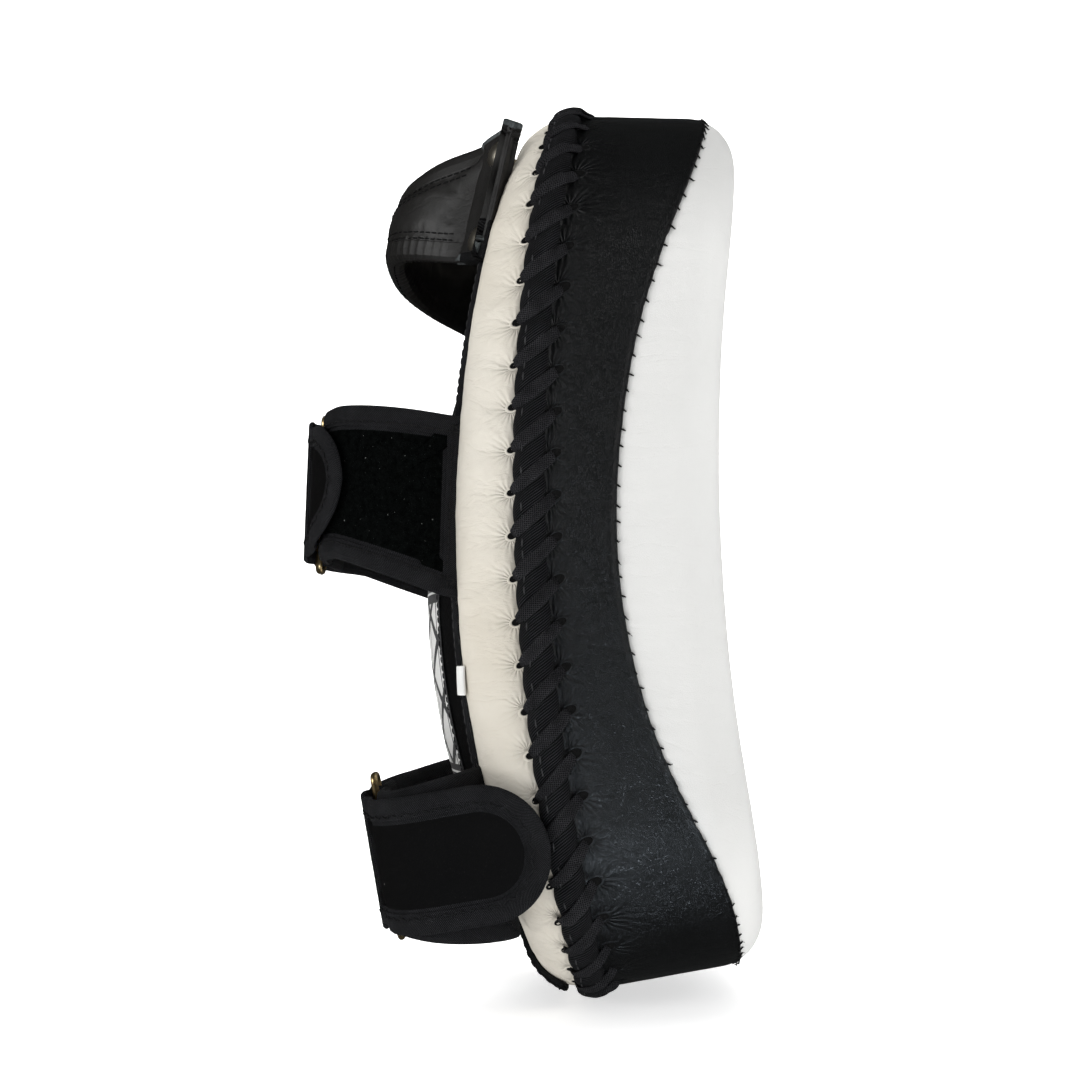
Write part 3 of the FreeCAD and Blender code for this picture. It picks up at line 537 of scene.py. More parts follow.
# tapes and cord: the first colour is mostly the painted highlight on their rib crests
TAPE = twill("binding_tape", (0.0480, 0.0490, 0.0540), (0.0016, 0.0016, 0.0019), 0.9 * MM, 0.22)
CORE_TAPE = twill("lace_core_tape", (0.0380, 0.0390, 0.0430), (0.0010, 0.0010, 0.0012), 1.15 * MM,
                  0.30, slope=0.8)
CORD = cord_weave("lace_cord_weave", (0.0620, 0.0620, 0.0680), (0.0008, 0.0008, 0.0010))
GRIP_TAPE = twill("grip_tape_weave", (0.0260, 0.0260, 0.0280), (0.0020, 0.0020, 0.0022), 1.0 * MM,
                  0.20)
PILE = pile("loop_pile")
TAB_CLOTH = brushed_cloth("tab_cloth", (0.0034, 0.0032, 0.0033), (0.0014, 0.0013, 0.0014))
LINING = brushed_cloth("strap_lining_cloth", (0.0100, 0.0100, 0.0110), (0.0030, 0.0030, 0.0034),
                       scale=1.6)
HOOK = pile("hook_pile")
THREAD = thread("black_thread", (0.0012, 0.0012, 0.0012), (0.0075, 0.0075, 0.0075))
GREY_THREAD = thread("grey_thread", (0.020, 0.020, 0.021), (0.085, 0.085, 0.090))
RAW_EDGE = raw_edge("raw_leather_edge")
RIVET = aged_metal("rivet_plate", (0.62, 0.58, 0.49), (0.36, 0.33, 0.27), (0.16, 0.13, 0.09))
BRASS = aged_metal("loop_brass", (0.80, 0.60, 0.30), (0.55, 0.40, 0.20), (0.25, 0.17, 0.08))
# painted shade: near-black colour laid in the lace holes as their dark inside
HOLE_SHADE = hole_shade("lace_hole_painted_shade")
LABEL = woven_label("label_weave")
TAG = brushed_cloth("tag_cloth", (0.80, 0.80, 0.78), (0.70, 0.70, 0.68), rough=0.75)
WHITE = studio_white("studio_white")


# ---- the pad's outline and its lines -------------------------------------------------
def outline(count):
    """Evenly spaced places round the pad: arrays of (y, z) on the side wall, its normals, and
    the outline's length."""
    low, high, w, r = END_LOW, END_HIGH, HALF_WIDTH, CORNER
    centres = ((w - r, high - r, 0), (r - w, high - r, 90), (r - w, low + r, 180), (w - r, low + r, 270))
    fine = 160
    points, normals = [], []
    for k, (cy, cz, start) in enumerate(centres):
        for step in range(fine):
            a = math.radians(start + 90 * step / fine)
            points.append((cy + r * math.cos(a), cz + r * math.sin(a)))
            normals.append((math.cos(a), math.sin(a)))
        ny, nz, _ = centres[(k + 1) % 4]
        a = math.radians(start + 90)
        n = (math.cos(a), math.sin(a))
        p, q = (cy + r * n[0], cz + r * n[1]), (ny + r * n[0], nz + r * n[1])
        for step in range(fine):
            points.append((p[0] + (q[0] - p[0]) * step / fine, p[1] + (q[1] - p[1]) * step / fine))
            normals.append(n)
    ring = np.hstack([points, normals])
    along = lengths(looped(ring[:, :2]))
    ring = between(np.linspace(0, along[-1], count, endpoint=False), along, looped(ring))
    return ring[:, :2], unit(ring[:, 2:]), along[-1]


def lacing_line():
    """x of the lacing's middle as a smooth function of z, from the wraps of cord."""
    middles = np.array([c.mean(0) for c in islands("lace_cord")])
    return np.polynomial.Polynomial.fit(middles[:, 2], middles[:, 0] - SHIFT, 4)


LACE_LINE = lacing_line()
_ticks = np.array([c.mean(0) for c in islands("seam_stitching")])
_ticks = _ticks[np.argsort(_ticks[:, 2])]


def seam_x(z):
    """x of the front seam, smoothed over five of the CAD's stitches."""
    smooth = np.convolve(np.pad(_ticks[:, 0], 2, "edge"), np.ones(5) / 5, "valid")
    return np.interp(z, _ticks[:, 2], smooth)


SHELL = tree_of("front_panel", "side_gusset", "back_panel", "lace_core")
RING_LEN = outline(8)[2]
COUNT = int(round(RING_LEN / STEP))
YZ, NN, _ = outline(COUNT)
OUT = np.concatenate([np.zeros((COUNT, 1)), NN], 1)
ALONG = np.arange(COUNT) * RING_LEN / COUNT
INNER = YZ - NN * INSET                # the outline moved in to the flat faces
LACE_X = LACE_LINE(YZ[:, 1])
SEAM_X = seam_x(YZ[:, 1])


def cast(tree, origin, direction, fallback, reach=0.8):
    """Where a ray first meets the tree; a ray that slips between two faces is moved a hair."""
    for nudge in (0.0, 1e-5, -2.3e-5, 4.1e-5):
        start = Vector(origin) + Vector((nudge, nudge * 0.7, -nudge * 0.9))
        hit = tree.ray_cast(start, Vector(direction), reach)[0]
        if hit is not None:
            return np.array(hit)
    return fallback


def drop(tree, point, n, above):
    """The point moved along n onto the tree, looked for within a height above and below it."""
    return cast(tree, point + n * above, -n, point, 2 * above)


def wall_rows(x_start, columns, towards, cut):
    """From a line on the side wall, round the rim and onto a face: one row per place.
    towards is -1 for the back and +1 for the front; cut is how far in from the outline it ends."""
    angles = np.linspace(0.0, math.pi / 2, 64)
    rows = []
    for k in range(COUNT):
        origin = np.array([x_start[k], *INNER[k]])
        row, last = [], origin
        for a in angles:
            d = np.array([towards * math.sin(a), NN[k, 0] * math.cos(a), NN[k, 1] * math.cos(a)])
            last = cast(SHELL, origin + d * 0.3, -d, last, 0.3)
            row.append(last)
        rows.append(resampled(np.array(row), columns, INSET - cut))
    return np.array(rows)


# ---- lace wraps read from the frame ----------------------------------------------------
def wrap_frames():
    """For each wrap: its place along the outline, its middle on the leather, its direction
    towards the front hole, and the wall's normal."""
    found = []
    for co in islands("lace_cord"):
        centre = co.mean(0)
        k = int(np.argmin(((YZ - centre[1:]) ** 2).sum(1)))
        n = OUT[k]
        rel = co - centre
        flat = rel - np.outer(rel @ n, n)
        axes = np.linalg.eigh(flat.T @ flat)[1]
        along = axes[:, 2] * np.sign(axes[0, 2])
        base = cast(SHELL, centre + n * 0.02, -n, centre)
        found.append((ALONG[k], base, along, n))
    found.sort(key=lambda item: item[0])
    return found


WRAPS = wrap_frames()
_slopes = [np.sign(a[2] * n[1] - a[1] * n[2]) for _, _, a, n in WRAPS]
WRAP_SLOPE = float(np.mean(_slopes))   # which way the wraps slant round the outline
PITCH = RING_LEN / len(WRAPS)
S_FIRST = float(np.mean([w[0] - k * PITCH for k, w in enumerate(WRAPS)]))
WRAP_RANDOM = np.random.default_rng(7).uniform(-1, 1, (len(WRAPS), 6))


def hole_offset(side):
    """How far along the outline a wrap's hole sits from its middle; side -1 is the back hole."""
    return side * WRAP_SLOPE * REACH[side] * math.sin(LACE_ANGLE)


def hole_u(side):
    """Place along the outline counted in lace pitches, whole at each hole of that side."""
    return (np.append(ALONG, RING_LEN) - S_FIRST - hole_offset(side)) / PITCH


def bell(x, width):
    return np.exp(-(x / width) ** 2)


def gathers(V, side, depth, reach):
    """Push-in of leather drawn up by the lace, over the (outline, distance) grid."""
    total = np.zeros((COUNT, len(V)))
    for k, r in enumerate(WRAP_RANDOM):
        a = ALONG - (S_FIRST + k * PITCH + hole_offset(side))
        a = (a + RING_LEN / 2) % RING_LEN - RING_LEN / 2
        close = np.abs(a) < 14 * MM
        A, B = np.meshgrid(a[close], V, indexing="ij")
        lean = r[0] * 0.35
        valley = bell(A - lean * B, 2.4 * MM + 0.22 * B) * np.exp(-B / (reach * (1 + 0.4 * r[1])))
        folds = bell(A - (0.9 + 0.3 * r[2]) * B, 1.1 * MM) * np.exp(-B / (reach * 0.55))
        folds += bell(A + (0.8 + 0.3 * r[3]) * B, 1.1 * MM) * np.exp(-B / (reach * 0.5))
        total[close] -= depth * ((1 + 0.35 * r[4]) * valley + 0.25 * folds)
    return total


# ---- leather skins ---------------------------------------------------------------------
def back_roll():
    """Soft cream leather from the lacing round onto the back, drawn into each lace hole."""
    P = wall_rows(LACE_X - CORE_HALF, 56, -1.0, BED_INSET + 3 * MM)
    centre = np.stack([np.full(COUNT, LACE_LINE(0)), *INNER.T], 1)[:, None]
    n = grid_normals(P, P - centre)
    V = lengths(P[0])
    d = gathers(V, -1, 1.5 * MM, 13 * MM)
    d -= 1.6 * MM * np.exp(-V / (3.5 * MM))[None]
    far = V[-1] - V
    d -= 2.4 * MM * np.exp(-(far / (5 * MM)) ** 1.5)[None]
    d += 0.5 * MM * wavy(P, 28.0, 1) + 0.22 * MM * wavy(P * np.array([1, 1, 1.6]), 95.0, 2)
    creases = np.clip(1 - np.abs(wavy(P * np.array([0.6, 0.6, 1.8]), 60.0, 3)) / 0.07, 0, 1)
    fade = np.clip(1.15 - np.abs(V / V[-1] - 0.25) * 1.6, 0, 1)[None]
    d -= 0.30 * MM * creases * fade
    d = np.maximum(d, -DEEPEST)
    roll = grid("back_roll", P + n * d[..., None], BACK_HIDE, u=hole_u(-1), v=V - 2.2 * MM,
                close_u=True, flip=True)
    return roll, P, n


def gusset_skin():
    """Black side leather between the lacing and the front seam."""
    columns, lip_out = 44, np.array([0.35 * MM, 0, 0])
    start = LACE_X + CORE_HALF
    share = np.linspace(0, 1, columns) ** 1.15
    rows = []
    for k in range(COUNT):
        row, last = [], np.array([start[k], *YZ[k]])
        for q in share:
            origin = np.array([start[k] + (SEAM_X[k] - start[k]) * q, *INNER[k]])
            last = cast(SHELL, origin + OUT[k] * 0.3, -OUT[k], last, 0.3)
            row.append(last)
        rows.append(row)
    P = np.array(rows)
    n = np.repeat(OUT[:, None], columns, 1)
    V = P[:, :, 0] - start[:, None]
    V0 = V.mean(0)
    d = gathers(V0, 1, 0.9 * MM, 7 * MM)
    d -= 0.8 * MM * np.exp(-V0 / (2.5 * MM))[None]
    d += 0.30 * MM * wavy(P, 26.0, 5) + 0.10 * MM * wavy(P * np.array([1, 1, 1.7]), 110.0, 6)
    rim = (SEAM_X - start)[:, None] - V
    d += 0.66 * MM * (1 - np.clip(rim / (1.6 * MM), 0, 1) ** 2) + 0.25 * MM
    P = P + n * np.maximum(d, -DEEPEST)[..., None]
    last, n = P[:, -1:], n[:, -1:]
    P = np.concatenate([P, last + lip_out - n * 0.35 * MM, last - n * 1.6 * MM + lip_out], 1)
    V_uv = np.append(V0 - 3.6 * MM, [V0[-1], V0[-1] + 2 * MM])
    return grid("side_gusset_skin", P, BLACK_HIDE, u=hole_u(1), v=V_uv, close_u=True)


def face_rings(count, spine):
    """(y, z) rings from the inset outline to the pad's middle line."""
    foot = np.stack([np.zeros(COUNT), np.clip(INNER[:, 1], -spine, spine)], 1)
    share = np.linspace(0, 1, count)[None, :, None]
    return INNER[:, None] * (1 - share) + foot[:, None] * share


def front_skin():
    """Pale striking face, wrapped over the rim to the gusset seam."""
    rim = wall_rows(SEAM_X, 34, 1.0, INSET)
    face = face_rings(26, 0.105)[:, 1:]
    rows = []
    for k in range(COUNT):
        row, last = [], rim[k, -1]
        for y, z in face[k]:
            last = cast(SHELL, (FRONT_X + 0.05, y, z), (-1, 0, 0), last)
            row.append(last)
        rows.append(row)
    P = np.concatenate([rim, np.array(rows)], 1)
    centre = np.stack([np.full(COUNT, 0.1), *INNER.T], 1)[:, None]
    n = grid_normals(P, P - centre)
    n[:, -1] = X_AXIS
    V = lengths(P[0])
    d = 0.35 * MM * wavy(P, 17.0, 9) + 0.07 * MM * wavy(P * np.array([1, 1, 1.5]), 85.0, 10)
    d -= 0.7 * MM * np.exp(-V / (2.2 * MM))[None]
    near = np.exp(-V / (9 * MM))[None]
    d -= 0.12 * MM * near * np.cos(ALONG / SEAM_PITCH * TAU)[:, None]
    d[:, -1] = d[:, -1].mean()
    return grid("front_skin", P + n * d[..., None], FRONT_HIDE, close_u=True)


# ---- lacing ------------------------------------------------------------------------------
def lacing_core():
    """Padded tape under the cord, pinched by every wrap, with its own line of stitches."""
    columns, skirt = 17, 2.6 * MM
    c = np.linspace(-1, 1, columns)
    P = np.zeros((COUNT, columns, 3))
    height = np.zeros((COUNT, columns))
    for j in range(columns):
        s_here = ALONG - S_FIRST - WRAP_SLOPE * (c[j] * CORE_HALF - SHIFT) * math.tan(LACE_ANGLE)
        near = (s_here / PITCH + 0.5) % 1.0 - 0.5
        pinch = bell(near * PITCH, 3.6 * MM)
        swell = np.cos(near * TAU) * -0.5 + 0.5
        crown = math.sqrt(max(0, 1 - c[j] ** 2 * 0.97))
        height[:, j] = (3.4 * MM + 0.9 * MM * swell - 0.9 * MM * pinch) * crown
        x = LACE_X + c[j] * CORE_HALF * (1.03 + 0.10 * swell - 0.10 * pinch)
        level = ROLL_WALL + (SIDE_WALL - ROLL_WALL) * (c[j] + 1) / 2
        P[:, j] = np.concatenate([x[:, None], YZ], 1) + OUT * level[:, None]
    P += OUT[:, None] * (height - 0.4 * MM)[..., None]
    P += OUT[:, None] * (0.15 * MM * wavy(P, 260.0, 12))[..., None]
    sunk = OUT[:, None] * skirt
    core = grid("lacing_core", np.concatenate([P[:, :1] - sunk, P, P[:, -1:] - sunk], 1), CORE_TAPE,
                close_u=True)
    rows, low, high, line = [], 0.12 * MM, 0.35 * MM, P[:, 4]   # stitches on one line of the tape
    for k in range(0, COUNT - 2, 3):
        if k % 9 < 6:
            rows.append(strand([line[k] + OUT[k] * low, line[k + 1] + OUT[k] * high,
                                line[k + 2] + OUT[k + 2] * low], 0.34 * MM, 6))
    return core, merged("lacing_core_stitches", rows, [GREY_THREAD])


def strand(path, radius, sides, taper=True):
    """Round thread along a few points: (points, faces, uvs)."""
    path = np.array(path)
    t = tangents(path)
    a = unit(np.cross(t, np.array([0.31, 0.52, 0.79])))
    b = np.cross(t, a)
    size = np.ones(len(path))
    if taper:
        size[0] = size[-1] = 0.55
    P = np.stack([path + (a * math.cos(q) + b * math.sin(q)) * radius * size[:, None]
                  for q in np.linspace(0, TAU, sides, endpoint=False)], 1)
    points, quads, uv = grid_data(P, close_v=True)
    last = (len(path) - 1) * sides
    caps = [list(range(sides))[::-1], list(range(last, last + sides))]
    return points, [list(q) for q in quads] + caps, np.vstack([uv, np.zeros((2 * sides, 2))])


def cord_profile():
    """Section of the flat cord, one wide and one thick, with a few lengthwise ribs."""
    steps, ribs = 14, 5
    places = [-1 + 2 * i / (steps - 1) for i in range(steps)]
    pts = []
    for q in places:
        h = 0.62 * math.sqrt(max(0.0, 1 - abs(q) ** 3.2)) + 0.16 * math.cos(q * ribs * math.pi)
        pts.append((q / 2, max(h, 0.0)))
    return pts + [(q / 2 * 0.9, -0.25 * math.sqrt(max(0.0, 1 - q * q))) for q in places[::-1]]


def cord_wraps(tree):
    """Flat cord drawn tight over the core, from its hole in the roll to its hole in the side."""
    pieces = []
    q = np.linspace(-1.0, 1.0, 31)
    for k, (_, base, along, n) in enumerate(WRAPS):
        r = WRAP_RANDOM[k]
        reach = np.where(q < 0, REACH[-1] * 0.95, REACH[1] * 0.98)
        path = base + along * (q * reach)[:, None]
        rise = np.array([(drop(tree, p, n, 12 * MM) - p) @ n for p in path])
        for _ in range(8):
            rise[1:-1] = np.maximum(rise[1:-1], (rise[:-2] + rise[2:]) / 2)
        dive = 1.9 * MM * bell(1 - np.abs(q), 0.10)
        path = path + n * (rise + 0.5 * MM - dive)[:, None]
        path = path + np.cross(n, along) * (0.5 * MM * r[0]) * (1 - q ** 2)[:, None]
        width = (5.9 + 0.4 * r[1]) * MM * (1 - 0.34 * np.abs(q) ** 4)
        t = tangents(path)
        across = unit(np.cross(np.repeat(n[None], len(q), 0), t))
        up = np.cross(t, across)
        twist = (np.radians(4 * r[2]) + np.radians(6) * q)[:, None]
        flat = across * np.cos(twist) + up * np.sin(twist)
        thick = np.cross(t, flat) * 1.55 * MM
        P = np.stack([path + flat * (width * a)[:, None] + thick * h for a, h in cord_profile()], 1)
        P = P + up[:, None] * (0.08 * MM * wavy(P, 500.0, 20 + k % 5))[..., None]
        pieces.append(grid_data(P, close_v=True))
    return merged("cord_wraps", pieces, [CORD])


def lace_holes(tree, side, name, hide, long_half, short_half):
    """Oval punched holes: a rolled lip of leather round a shallow disc painted near-black as the hole's
    shade.
    """
    angles = np.linspace(0, TAU, 20, endpoint=False)
    above = 8 * MM
    lips = ((1.45, 0.02), (1.22, 0.30), (1.02, 0.34), (0.90, 0.05))
    # painted shade: these rings make a shallow disc coloured near-black to stand for the hole's dark
    # inside
    shade_rings = ((0.97, 0.16), (0.7, 0.06), (0.05, 0.02))
    made = []
    for label, rings, material in (("_lips", lips, hide), ("_shade_pits", shade_rings, HOLE_SHADE)):
        pieces = []
        for (_, base, along, n), r in zip(WRAPS, WRAP_RANDOM):
            centre = drop(tree, base + along * side * REACH[side], n, above)
            major = unit(along + X_AXIS * 0.9 + 0.12 * r[5] * np.cross(n, along))
            minor = np.cross(n, major)
            P = []
            for scale, lift in rings:
                oval = [(major * math.cos(a) * long_half + minor * math.sin(a) * short_half)
                        * scale * (1 + 0.14 * r[3]) for a in angles]
                P.append([drop(tree, centre + p, n, above) + n * (lift * MM) for p in oval])
            pieces.append(grid_data(np.array(P), close_v=True))
        made.append(merged(name + label, pieces, [material]))
    return made


def seam_threads(tree):
    """Short hand stitches that bite from the gusset's edge into the pale leather."""
    pieces = []
    count = int(round(RING_LEN / SEAM_PITCH))
    local = np.random.default_rng(21)
    for j in range(count):
        k = int(j * COUNT / count)
        y, z = YZ[k]
        n = OUT[k]
        tangent = np.array([0, -n[2], n[1]])
        r = local.uniform(-1, 1, 5)
        x = seam_x(z)
        start = np.array([x - 0.6 * MM, y, z])
        end = np.array([x + (1.5 + 0.7 * r[0]) * MM, y, z]) + tangent * (1.3 + 0.6 * r[1]) * MM
        path = []
        for p, lift in ((start, 0.46), ((start + end) / 2, 0.95), (end, 0.10)):
            path.append(drop(tree, p, n, 10 * MM) + n * lift * MM)
        pieces.append(strand(path, 0.45 * MM, 7))
        if r[2] > 0.1:
            loose = tangent * (0.9 * r[3]) * MM + X_AXIS * (0.6 + 0.3 * r[4]) * MM + n * 0.3 * MM
            tail = path[-1] + loose
            bend = (path[-1] + tail) / 2 + n * 0.2 * MM
            pieces.append(strand([path[-1], bend, tail], 0.14 * MM, 5))
    return merged("seam_threads", pieces, [THREAD])


def wall_level(offset):
    """How far the leather wall stands out of the nominal outline beside the lacing."""
    found = []
    for k in range(COUNT):
        nominal = np.array([LACE_X[k] + offset, *YZ[k]])
        hit = cast(SHELL, nominal + OUT[k] * 0.1, -OUT[k], nominal)
        found.append((hit - nominal) @ OUT[k])
    return np.array(found)


def fit(piece, nodes=(), body="pad"):
    """Fastens a piece to its body and takes the place of CAD nodes."""
    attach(piece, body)
    if nodes:
        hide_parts(*nodes)


ROLL_WALL, SIDE_WALL = wall_level(-CORE_HALF - 0.5 * MM), wall_level(CORE_HALF + 0.5 * MM)
ROLL, ROLL_POINTS, ROLL_NORMALS = back_roll()
GUSSET, FRONT = gusset_skin(), front_skin()
SKIN = tree_of_objects(ROLL, GUSSET, FRONT)
CORE_PIECE, CORE_STITCHES = lacing_core()
CORDS = cord_wraps(tree_of_objects(ROLL, GUSSET, CORE_PIECE))
BACK_HOLES = lace_holes(SKIN, -1, "back_holes", BACK_HIDE, 2.2 * MM, 1.5 * MM)
SIDE_HOLES = lace_holes(SKIN, 1, "side_holes", BLACK_HIDE, 3.0 * MM, 1.9 * MM)
SEAM = seam_threads(SKIN)
fit(ROLL, ("back_panel",))
fit(GUSSET, ("side_gusset",))
fit(FRONT, ("front_panel",))
fit(CORE_PIECE, ("lace_core",))
fit(CORE_STITCHES)
fit(CORDS, ("lace_cord",))
for hole in BACK_HOLES:
    fit(hole)
for hole in SIDE_HOLES:
    fit(hole)
fit(SEAM, ("seam_stitching",))


# ---- sheets laid on a surface ------------------------------------------------------------
class Wrap:
    """A sheet that follows a path in a plane and runs straight across it.
    at(s, t, h): s along the path, t across, h out from the path."""

    def __init__(self, points, normals, across):
        self.points, self.normals, self.across = points, normals, across
        self.along = lengths(points)
        self.length = self.along[-1]

    def at(self, s, t, h):
        place, normal = (between(s, self.along, field) for field in (self.points, self.normals))
        beyond = np.clip(s - self.length, 0, None)[..., None] + np.clip(s, None, 0)[..., None]
        start, end = unit(self.points[1] - self.points[0]), unit(self.points[-1] - self.points[-2])
        run = np.where((s > self.length)[..., None], end, start)
        out = unit(normal) * np.asarray(h)[..., None]
        return place + run * beyond + out + self.across * np.asarray(t)[..., None]


class Drape:
    """A sheet dropped along +X on a tree: at(y, z, h) with h towards -X, the pad's back."""

    def __init__(self, *nodes):
        self.tree = tree_of(*nodes)

    def at(self, s, t, h):
        h = np.broadcast_to(h, s.shape)
        out = np.zeros(s.shape + (3,))
        for i in np.ndindex(s.shape):
            start = Y_AXIS * s[i] + Z_AXIS * t[i]
            out[i] = cast(self.tree, start - X_AXIS * 0.2, X_AXIS, start) - X_AXIS * h[i]
        return out


class Patch:
    """A sheet on a ready grid of points and normals: at(s, t, h) in lengths along the grid's
    two ways, where one cell is step by column."""

    def __init__(self, P, N, step, column):
        self.P, self.N, self.step, self.column = P, N, step, column

    def at(self, s, t, h):
        i = np.clip(s / self.step, 0, self.P.shape[0] - 1.001)
        j = np.clip(t / self.column, 0, self.P.shape[1] - 1.001)
        i0, j0 = i.astype(int), j.astype(int)
        fi, fj = (i - i0)[..., None], (j - j0)[..., None]
        out = []
        for F in (self.P, self.N):
            top = F[i0, j0] * (1 - fi) + F[i0 + 1, j0] * fi
            low = F[i0, j0 + 1] * (1 - fi) + F[i0 + 1, j0 + 1] * fi
            out.append(top * (1 - fj) + low * fj)
        return out[0] + unit(out[1]) * np.asarray(h)[..., None]


def rounded(corners, radius, step=SPACING):
    """Closed outline through corners, each rounded, as evenly spaced 2-D points."""
    corners = np.array(corners, float)
    m = len(corners)
    pts = []
    for k in range(m):
        a, b, c = corners[k - 1], corners[k], corners[(k + 1) % m]
        r = radius[k] if isinstance(radius, list) else radius
        reach = min(r, np.linalg.norm(a - b) * 0.49, np.linalg.norm(c - b) * 0.49)
        p, q = b + unit(a - b) * reach, b + unit(c - b) * reach
        pts += [p * (1 - f) ** 2 + b * 2 * f * (1 - f) + q * f ** 2 for f in np.linspace(0, 1, 13)]
    return evenly(np.array(pts), step)


def rectangle(s0, s1, t0, t1, radius, step=SPACING):
    return rounded([(s0, t0), (s1, t0), (s1, t1), (s0, t1)], radius, step)


def evenly(pts, step):
    ring = looped(pts)
    along = lengths(ring)
    count = max(24, int(along[-1] / step))
    return between(np.linspace(0, along[-1], count, endpoint=False), along, ring)


def inward(outline):
    """Unit normals of a closed 2-D outline that point to its inside."""
    t = unit(np.roll(outline, -2, 0) - np.roll(outline, 2, 0))
    n = np.stack([-t[:, 1], t[:, 0]], 1)
    x, y = outline.T
    return n if np.sum(x * np.roll(y, -1) - np.roll(x, -1) * y) > 0 else -n


def middle_line(outline):
    """Ends of the line a sheet's filling runs to, along the longer side of its box."""
    low, high = outline.min(0), outline.max(0)
    long = 0 if high[0] - low[0] > high[1] - low[1] else 1
    half = (high[1 - long] - low[1 - long]) / 2
    ends = np.full((2, 2), (high[1 - long] + low[1 - long]) / 2)
    ends[:, long] = low[long] + half, high[long] - half
    return ends


def flat_noise(flat, scale, seed):
    return wavy(np.hstack([flat, np.zeros((len(flat), 1))]), scale, seed)


def sheet(name, surface, outline, profile, materials, fan=9, spine=None, puff=0.0,
          ripple=0.12 * MM, seed=1, under=True, ribs=None):
    """Padded sheet: rings of the first material at (inset, height) round the outline, filled
    on both sides unless fan is 0. The first ring starts the upper filling, of the second
    material; the last one starts the lower, of the third."""
    n_in = inward(outline)
    m = len(outline)
    u = lengths(looped(outline))
    a, b = np.array(middle_line(outline) if spine is None else spine, float)
    share = np.clip(((outline - a) @ (b - a)) / max(((b - a) ** 2).sum(), 1e-12), 0, 1)
    foot = a + share[:, None] * (b - a)
    pieces, slots = [], []
    for (inset, height), (inset2, height2) in zip(profile[:-1], profile[1:]):
        slant = math.hypot(inset2 - inset, height2 - height)
        side = np.sign(height + height2 + 1e-9)
        flats, heights, v = [], [], []
        for f in np.linspace(0, 1, max(2, int(slant / (1.1 * MM)) + 1)):
            flat = outline + n_in * (inset + (inset2 - inset) * f)
            wave = ripple * flat_noise(flat, 260.0, seed)
            flats.append(flat)
            level = height + (height2 - height) * f
            heights.append(level + (wave + (ribs(flat, u[:-1]) if ribs else 0.0)) * side)
            v.append(inset + height + slant * f)
        flat, h = np.stack(flats, 1), np.stack(heights, 1)
        P = surface.at(flat[..., 0], flat[..., 1], h)
        pieces.append(grid_data(P, u=u, v=np.array(v), close_u=True))
        slots.append(0)
    ends = ((profile[0], 1), (profile[-1], -1)) if under else ((profile[0], 1),)
    for (inset, height), sign in ends if fan else ():
        edge = outline + n_in * inset
        flats, heights = [], []
        for f in np.linspace(0, 1, fan):
            flat = edge * (1 - f) + foot * f
            swell = puff * (1 - (1 - min(1.0, f * 2.2)) ** 2)
            wave = ripple * 1.6 * flat_noise(flat, 90.0, seed + 3)
            flats.append(flat)
            heights.append(np.full(m, height) + sign * swell + wave * min(1.0, f * 4))
        flat, h = np.stack(flats, 1), np.stack(heights, 1)
        P = surface.at(flat[..., 0], flat[..., 1], h)
        points, quads, _ = grid_data(P, close_u=True)
        pieces.append((points, quads, flat.reshape(-1, 2)[np.asarray(quads)].reshape(-1, 2)))
        slots.append(1 if sign > 0 else 2)
    return merged(name, pieces, materials, slots)


STITCH_SHARES = np.array([0, 0.15, 0.5, 0.85, 1.0])


def stitch_places(outline, inset, pitch, length, jitter, draw):
    """Places of the stitches that follow an outline at an inset: for each its five 2-D
    points, its number and its random draw."""
    ring = looped(outline + inward(outline) * inset)
    along = lengths(ring)
    count = int(along[-1] / pitch)
    for k in range(count):
        r = draw()
        want = (k + jitter * r[0]) * along[-1] / count + STITCH_SHARES * length
        yield between(want % along[-1], along, ring), k, r


def stitch_row(surface, outline, inset, height, pitch, length, radius, seed, zigzag=0.0):
    """Stitches that follow an outline at an inset, as round threads a little sunk in."""
    local = np.random.default_rng(seed)
    h = height + radius * np.array([-1.2, 0.35, 0.8, 0.35, -1.2])
    pieces = []
    for pos, k, r in stitch_places(outline, inset, pitch, length, 0.12,
                                   lambda: local.uniform(-1, 1, 3)):
        t = unit(pos[-1] - pos[0])
        slant = (STITCH_SHARES - 0.5) * zigzag * (1 if k % 2 else -1) + 0.12 * MM * r[1]
        pos = pos + np.array([-t[1], t[0]]) * slant[:, None]
        pieces.append(strand(surface.at(pos[:, 0], pos[:, 1], h), radius, 6, taper=False))
    return pieces


def stitches_on(tree, surface, outline, inset, pitch, length, radius, seed, keep):
    """A row of stitches laid on a finished mesh, following an outline at an inset."""
    local = np.random.default_rng(seed)
    lift = (radius * np.array([-1.2, 0.3, 0.7, 0.3, -1.2]))[:, None]
    pieces = []
    for pos, _, _ in stitch_places(outline, inset, pitch, length, 0.1,
                                   lambda: [local.uniform(-1, 1)]):
        if not keep(pos[2]):
            continue
        foot = surface.at(pos[:, 0], pos[:, 1], np.zeros(5))
        high = surface.at(pos[:, 0], pos[:, 1], np.full(5, 25 * MM))
        out = unit(high - foot)
        hits = np.array([cast(tree, h, -o, f) for h, o, f in zip(high, out, foot)])
        pieces.append(strand(hits + out * lift, radius, 6, taper=False))
    return pieces


